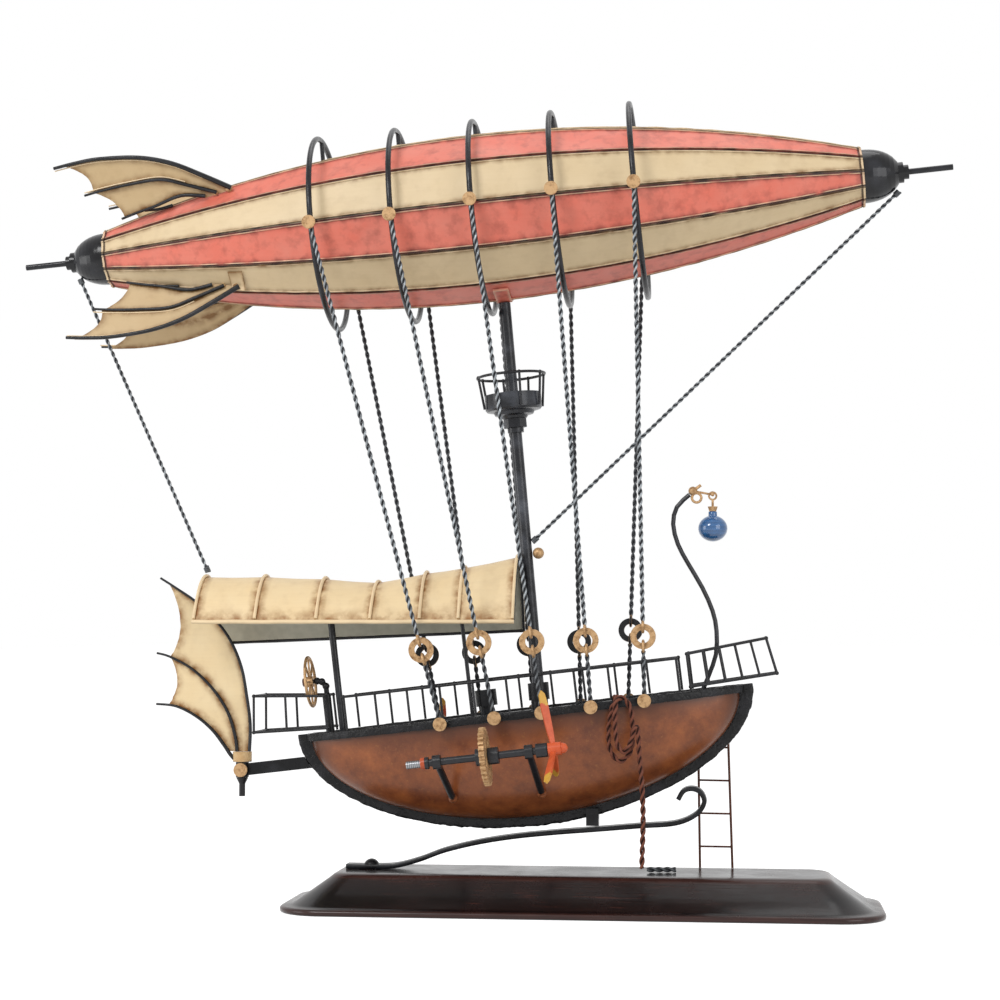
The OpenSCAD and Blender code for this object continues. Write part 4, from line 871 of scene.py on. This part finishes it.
# Ribs in mm forward of the tail and out from the axis, each from its foot on the gores
FIN_FEET = [(x, gore_r(TAIL + x) + 1.7) for x in (92.5, 82.5, 74.5, 50.5)]
FIN_LEAD = [FIN_FEET[0], (74.5, 53), (55.5, 63), (34.5, 69), (8.5, 71), (-7.5, 70), (-22.5, 68)]
FIN_MID = [FIN_FEET[1], (62.5, 48), (46.5, 53), (24.5, 52), (6.5, 50), (-5.5, 48)]
FIN_IN = [FIN_FEET[2], (58.5, 41), (40.5, 36), (27.5, 33), (16.5, 30)]
FIN_STRUT = [FIN_FEET[3], (42.5, 32.2), (31.5, 32)]
# Each rib, how far it lies beside the sheet, and its radius at the root
FIN_RIBS = ((FIN_LEAD, 2.0, 1.75), (FIN_MID, 1.85, 1.3), (FIN_IN, 1.85, 1.3), (FIN_STRUT, -1.85, 1.2))
# Side and height of each fin: degrees from the beam, how far it is sunk, and its bend
FINS = {(1, 1): (52, 0.7, -15), (1, -1): (52, 0.7, -15), (-1, 1): (60, 0, 8), (-1, -1): (60, 0, 18)}
# The fins' cream is drawn darker than the cream on the awning and rudder: painted shade where the key lamp
# lights the upper fins.
fin_cream_shaded = oil_paint("glazed cream paint on fins", "#CBB28A", "#BCA076", "#7E5A32", 0.16)


def fin_place(points, way, bent=True):
    """Points given from the tail, across a fin and out from the axis, placed as that fin stands."""
    p = np.asarray(points, float)
    seat, sink, bend = FINS[way]
    turn = math.radians(bend if bent else 0)
    rise = p[..., 2] - FIN_ROOT
    out = FIN_ROOT - sink + rise * math.cos(turn) - p[..., 1] * math.sin(turn)
    n = p[..., 1] * math.cos(turn) + rise * math.sin(turn)
    c, s = math.cos(math.radians(180 - seat)), math.sin(math.radians(180 - seat))
    y, z = way[0] * (out * c - n * s), way[1] * (out * s + n * c)
    return on_envelope(np.stack([TAIL + p[..., 0], y, z], -1))


def fin_shape(shape, way, bent=True):
    """A shape placed as one fin stands, with its faces turned where that mirrors it."""
    turned = -1 if way[0] * way[1] < 0 else 1
    return fin_place(shape[0], way, bent), [f[::turned] for f in shape[1]]


def bead(at, size):
    """A lumpy bead of solder."""
    turn = np.linspace(0, 2 * math.pi, 13)[:-1]
    p = np.array([[(math.cos(t) * math.cos(a), math.cos(t) * math.sin(a), math.sin(t)) for a in turn]
                  for t in np.radians(np.linspace(-85, 85, 9))]) * size
    return swept(p * (1 + 0.35 * lump(p + at, 1.6))[..., None] + at)


sunk = [[(line[0][0], line[0][1] - 1.4)] + line[1:] for line in (FIN_LEAD, FIN_MID, FIN_IN)]
sail, off = ribbed_sail(sunk, [0.958, 0.94, 0.97], 0.06)
sheet_soil = np.clip(1 - (off - 0.8) / 5, 0, 1) ** 1.6
sheets, ribs, soils, rubs = [], [], [], []


def lay_sheet(shape, soil, rub):
    """Keeps one form of the fins' sheet, with its points' glaze and painted shade, and how rubbed they are.
    """
    sheets.append(shape)
    soils.append(np.resize(soil, len(shape[0])))
    rubs.append(np.resize(rub, len(shape[0])))


for way in FINS:
    lay_sheet(fin_shape(sheet_between(sail + half_sheet, sail - half_sheet), way), sheet_soil, 0)
    # A pale wire shows beside the two outer ribs.
    for rib, beside in ((FIN_LEAD, -2.1), (FIN_MID, 1.6)):
        line = rib_line([(x, r + beside) for x, r in rib[1:]], 0.7, 2.0)
        lay_sheet(fin_shape(wire(line, 0.42, 6), way), 0.1, 0.9)
    for x, size in ((90.5, 2.3), (81.5, 1.7)):
        lay_sheet(bead(fin_place((x, 0.6, gore_r(TAIL + x) + 1.4), way), size), 0.75, 0)
    for rib, beside, thick in FIN_RIBS:
        line = rib_line(rib, beside, 1.5)
        tapered = wire(line, np.linspace(thick, 0.6 * thick, len(line)), 10)
        ribs.append(fin_shape(tapered, way, beside > 0))

# The lower starboard fin is held at its root by a tab of the same sheet, bent up on to the gore.
x = np.linspace(87, 96.5, 9)
lap = np.array([0, -math.cos(math.radians(45)), -math.sin(math.radians(45))])
low, high = (seam_point(TAIL + x, math.radians(turn)) for turn in (-60, -30))
rows = [fin_place(np.stack([x, 0 * x + 1.0, gore_r(TAIL + x) + 1.0 + out], -1), (1, -1))
        for out in (3, 2, 1, 0)]
rows += [on_envelope(low * (1 - f) + high * f + 1.1 * lap) for f in np.linspace(0.33, 0.8, 7)]
tab = np.stack(rows, 1)
row = np.arange(len(rows))[None]
from_edge = np.minimum(4 - np.abs(np.arange(9) - 4)[:, None], len(rows) - 1 - row)
up_gore = np.clip((row - 6) / 4, 0, 1)
# Painted shadow darkens the tab's edges; up the gore it is soiled orange-brown, and its middle is drawn
# paler.
soil = np.clip(np.maximum(0.8 - from_edge / 2, 0.55 * up_gore), 0, 1)
rub = np.where(from_edge > 0, 0.5 * (1 - up_gore), 0)
lay_sheet(sheet_between(tab + 0.35 * lap, tab - 0.35 * lap), soil, rub)
make("fin_cut_sheets", together(sheets), fin_cream_shaded, "sail_paint", "fin_sheets", crease=50,
     soil=np.concatenate(soils), rub=np.concatenate(rubs))
make("fin_tapered_ribs", together(ribs), wire_black, "black_paint", "fin_ribs")

# Lantern: a blown blue glass ball with a short neck and turned bands, hung by a brass crown
# and loop from the hook on the end of the bent arm at the bow.
LANTERN_AT, LANTERN_R, LANTERN_NECK, BAND_CUT = (152.0, 0, 244.0), 9.4, 2.5, 0.12
finish(pole_black, "lantern_arm")
finish(brass, "lantern_hook", "lantern_crown")

# Blue glass, blown and turned: deep and glossy, darker towards its foot, with 4 mm seeds in it.
glass_blue, tree = blank("banded blue glass")
tint = blend(grain(tree, 4, 3.0), "#1D4D82", "#3E73A9")
banded = blend(attribute(tree, "band"), tint, "#12304F")
surface(banded, 0.12, more={"Coat Weight": 0.5, "Coat Roughness": 0.04})
top = 0.9 * LANTERN_R
outline = [(LANTERN_R * math.cos(t), top * math.sin(t)) for t in np.radians(np.linspace(-88, 68, 61))]
outline += [(2.9, top - 0.5), (2.8, top + 0.4), (2.8, top + LANTERN_NECK - 0.3), (2.5, top + LANTERN_NECK)]
band = [0.5 * max(0, math.sin(z * 2.4)) ** 4 + 0.35 * max(0, -z / top) for _, z in outline]
turn = np.linspace(0, 2 * math.pi, 65)[:-1]
rings = []
for (r, z), g in zip(outline, band):
    cut = r - BAND_CUT * g
    rings.append([(cut * math.cos(a), cut * math.sin(a), z) for a in turn])
make("lantern_turned_ball", swept(np.add(rings, LANTERN_AT)), glass_blue, "lantern_glass", "lantern_ball",
     body="lantern", crease=60, band=np.repeat(band, len(turn)))

# Side screws: on each beam a shaft turns in two brackets, with a brass gear between shoulders
# and a three-bladed screw on its end. The port one is set the other way about.
SHAFT_AT = on_hull((-21, 79, -22.6)) / 1000
SHAFT_WAY = (math.cos(HULL_PITCH), 0, math.sin(HULL_PITCH))
finish(brass, "starboard_gear", "port_gear")


def from_shaft(tree):
    """Metres along a shaft, from its middle towards its stub, and metres out from its axis."""
    def vectors(operation, inputs):
        return add(tree, "VectorMath", inputs, operation=operation).outputs

    at = axes(tree)
    folded = add(tree, "CombineXYZ", {"X": at["X"], "Y": calc("ABSOLUTE", at["Y"]), "Z": at["Z"]})
    off = vectors("SUBTRACT", {0: folded.outputs[0], 1: tuple(SHAFT_AT)})[0]
    along = vectors("DOT_PRODUCT", {0: off, 1: SHAFT_WAY})["Value"]
    run = vectors("SCALE", {0: SHAFT_WAY, "Scale": along})[0]
    out = vectors("LENGTH", {0: vectors("SUBTRACT", {0: off, 1: run})[0]})["Value"]
    return calc("MULTIPLY", along, calc("SIGN", at["Y"])), out


# Black enamel on the bracket rods, which the hot solder at their feet has burnt to a coppery
# brown. Lumps of 2 mm, and a ragged edge 53 mm out from the shaft.
bracket_black, tree = blank("black enamel burnt at the feet")
_, out = from_shaft(tree)
lumps = grain(tree, 2, 3.0)
black = blend(lumps, "#0F0F12", "#27282C")
burnt = blend(lumps, "#5A2C16", "#A4623A")
burnt_at = calc("ADD", out, span(lumps, 0.0, 1.0, -0.003, 0.003))
tone = blend(span(burnt_at, 0.0525, 0.0545), black, burnt)
surface(tone, 0.32, 0.32, (lumps, 0.3, 0.0004))
finish(bracket_black, "starboard_brackets", "port_brackets")

# Turned steel shaft under black enamel, bare at its stub end: grey with 0.6 mm turning rings,
# and a dab of the screws' orange beside it.
shaft_black, tree = blank("black enamel on turned shaft")
along, _ = from_shaft(tree)
lumps = grain(tree, 2.5, 3.0)
black = blend(lumps, "#0F0F12", "#2A2B30")
ring_at = add(tree, "CombineXYZ", {"X": along}).outputs[0]
turned = add(tree, "TexWave", {"Vector": ring_at, "Scale": 1000 / 0.6 / 6.28, "Distortion": 0.5})
steel = blend(turned.outputs["Fac"], "#5E6063", "#A3A5A8")
dabbed = blend(span(along, 0.0342, 0.0346, 0.0, 0.8), black, "#C4552B")
stub = span(along, 0.0368, 0.0374)
tone = blend(stub, dabbed, steel)
surface(tone, 0.32, 0.35, (lumps, 0.2, 0.0003), {"Metallic": span(stub, end=0.8)})
finish(shaft_black, "starboard_shaft", "port_shaft")

# Brushed enamel: orange-red screws with yellow dipped tips, browned in 6 mm patches.
screw_enamel, tree = blank("orange screw enamel")
_, out = from_shaft(tree)
patches = grain(tree, 6, 5.0, 0.65)
dip = calc("ADD", out, span(patches, 0.3, 0.7, -0.005, 0.005))
orange = blend(patches, "#A83A1A", "#EC7040")
yellow = blend(patches, "#B98428", "#E8B84E")
tone = blend(span(dip, 0.0268, 0.0285), orange, yellow)
surface(tone, 0.36, 0.35, (patches, 0.3, 0.0004))
finish(screw_enamel, "starboard_propeller", "port_propeller")
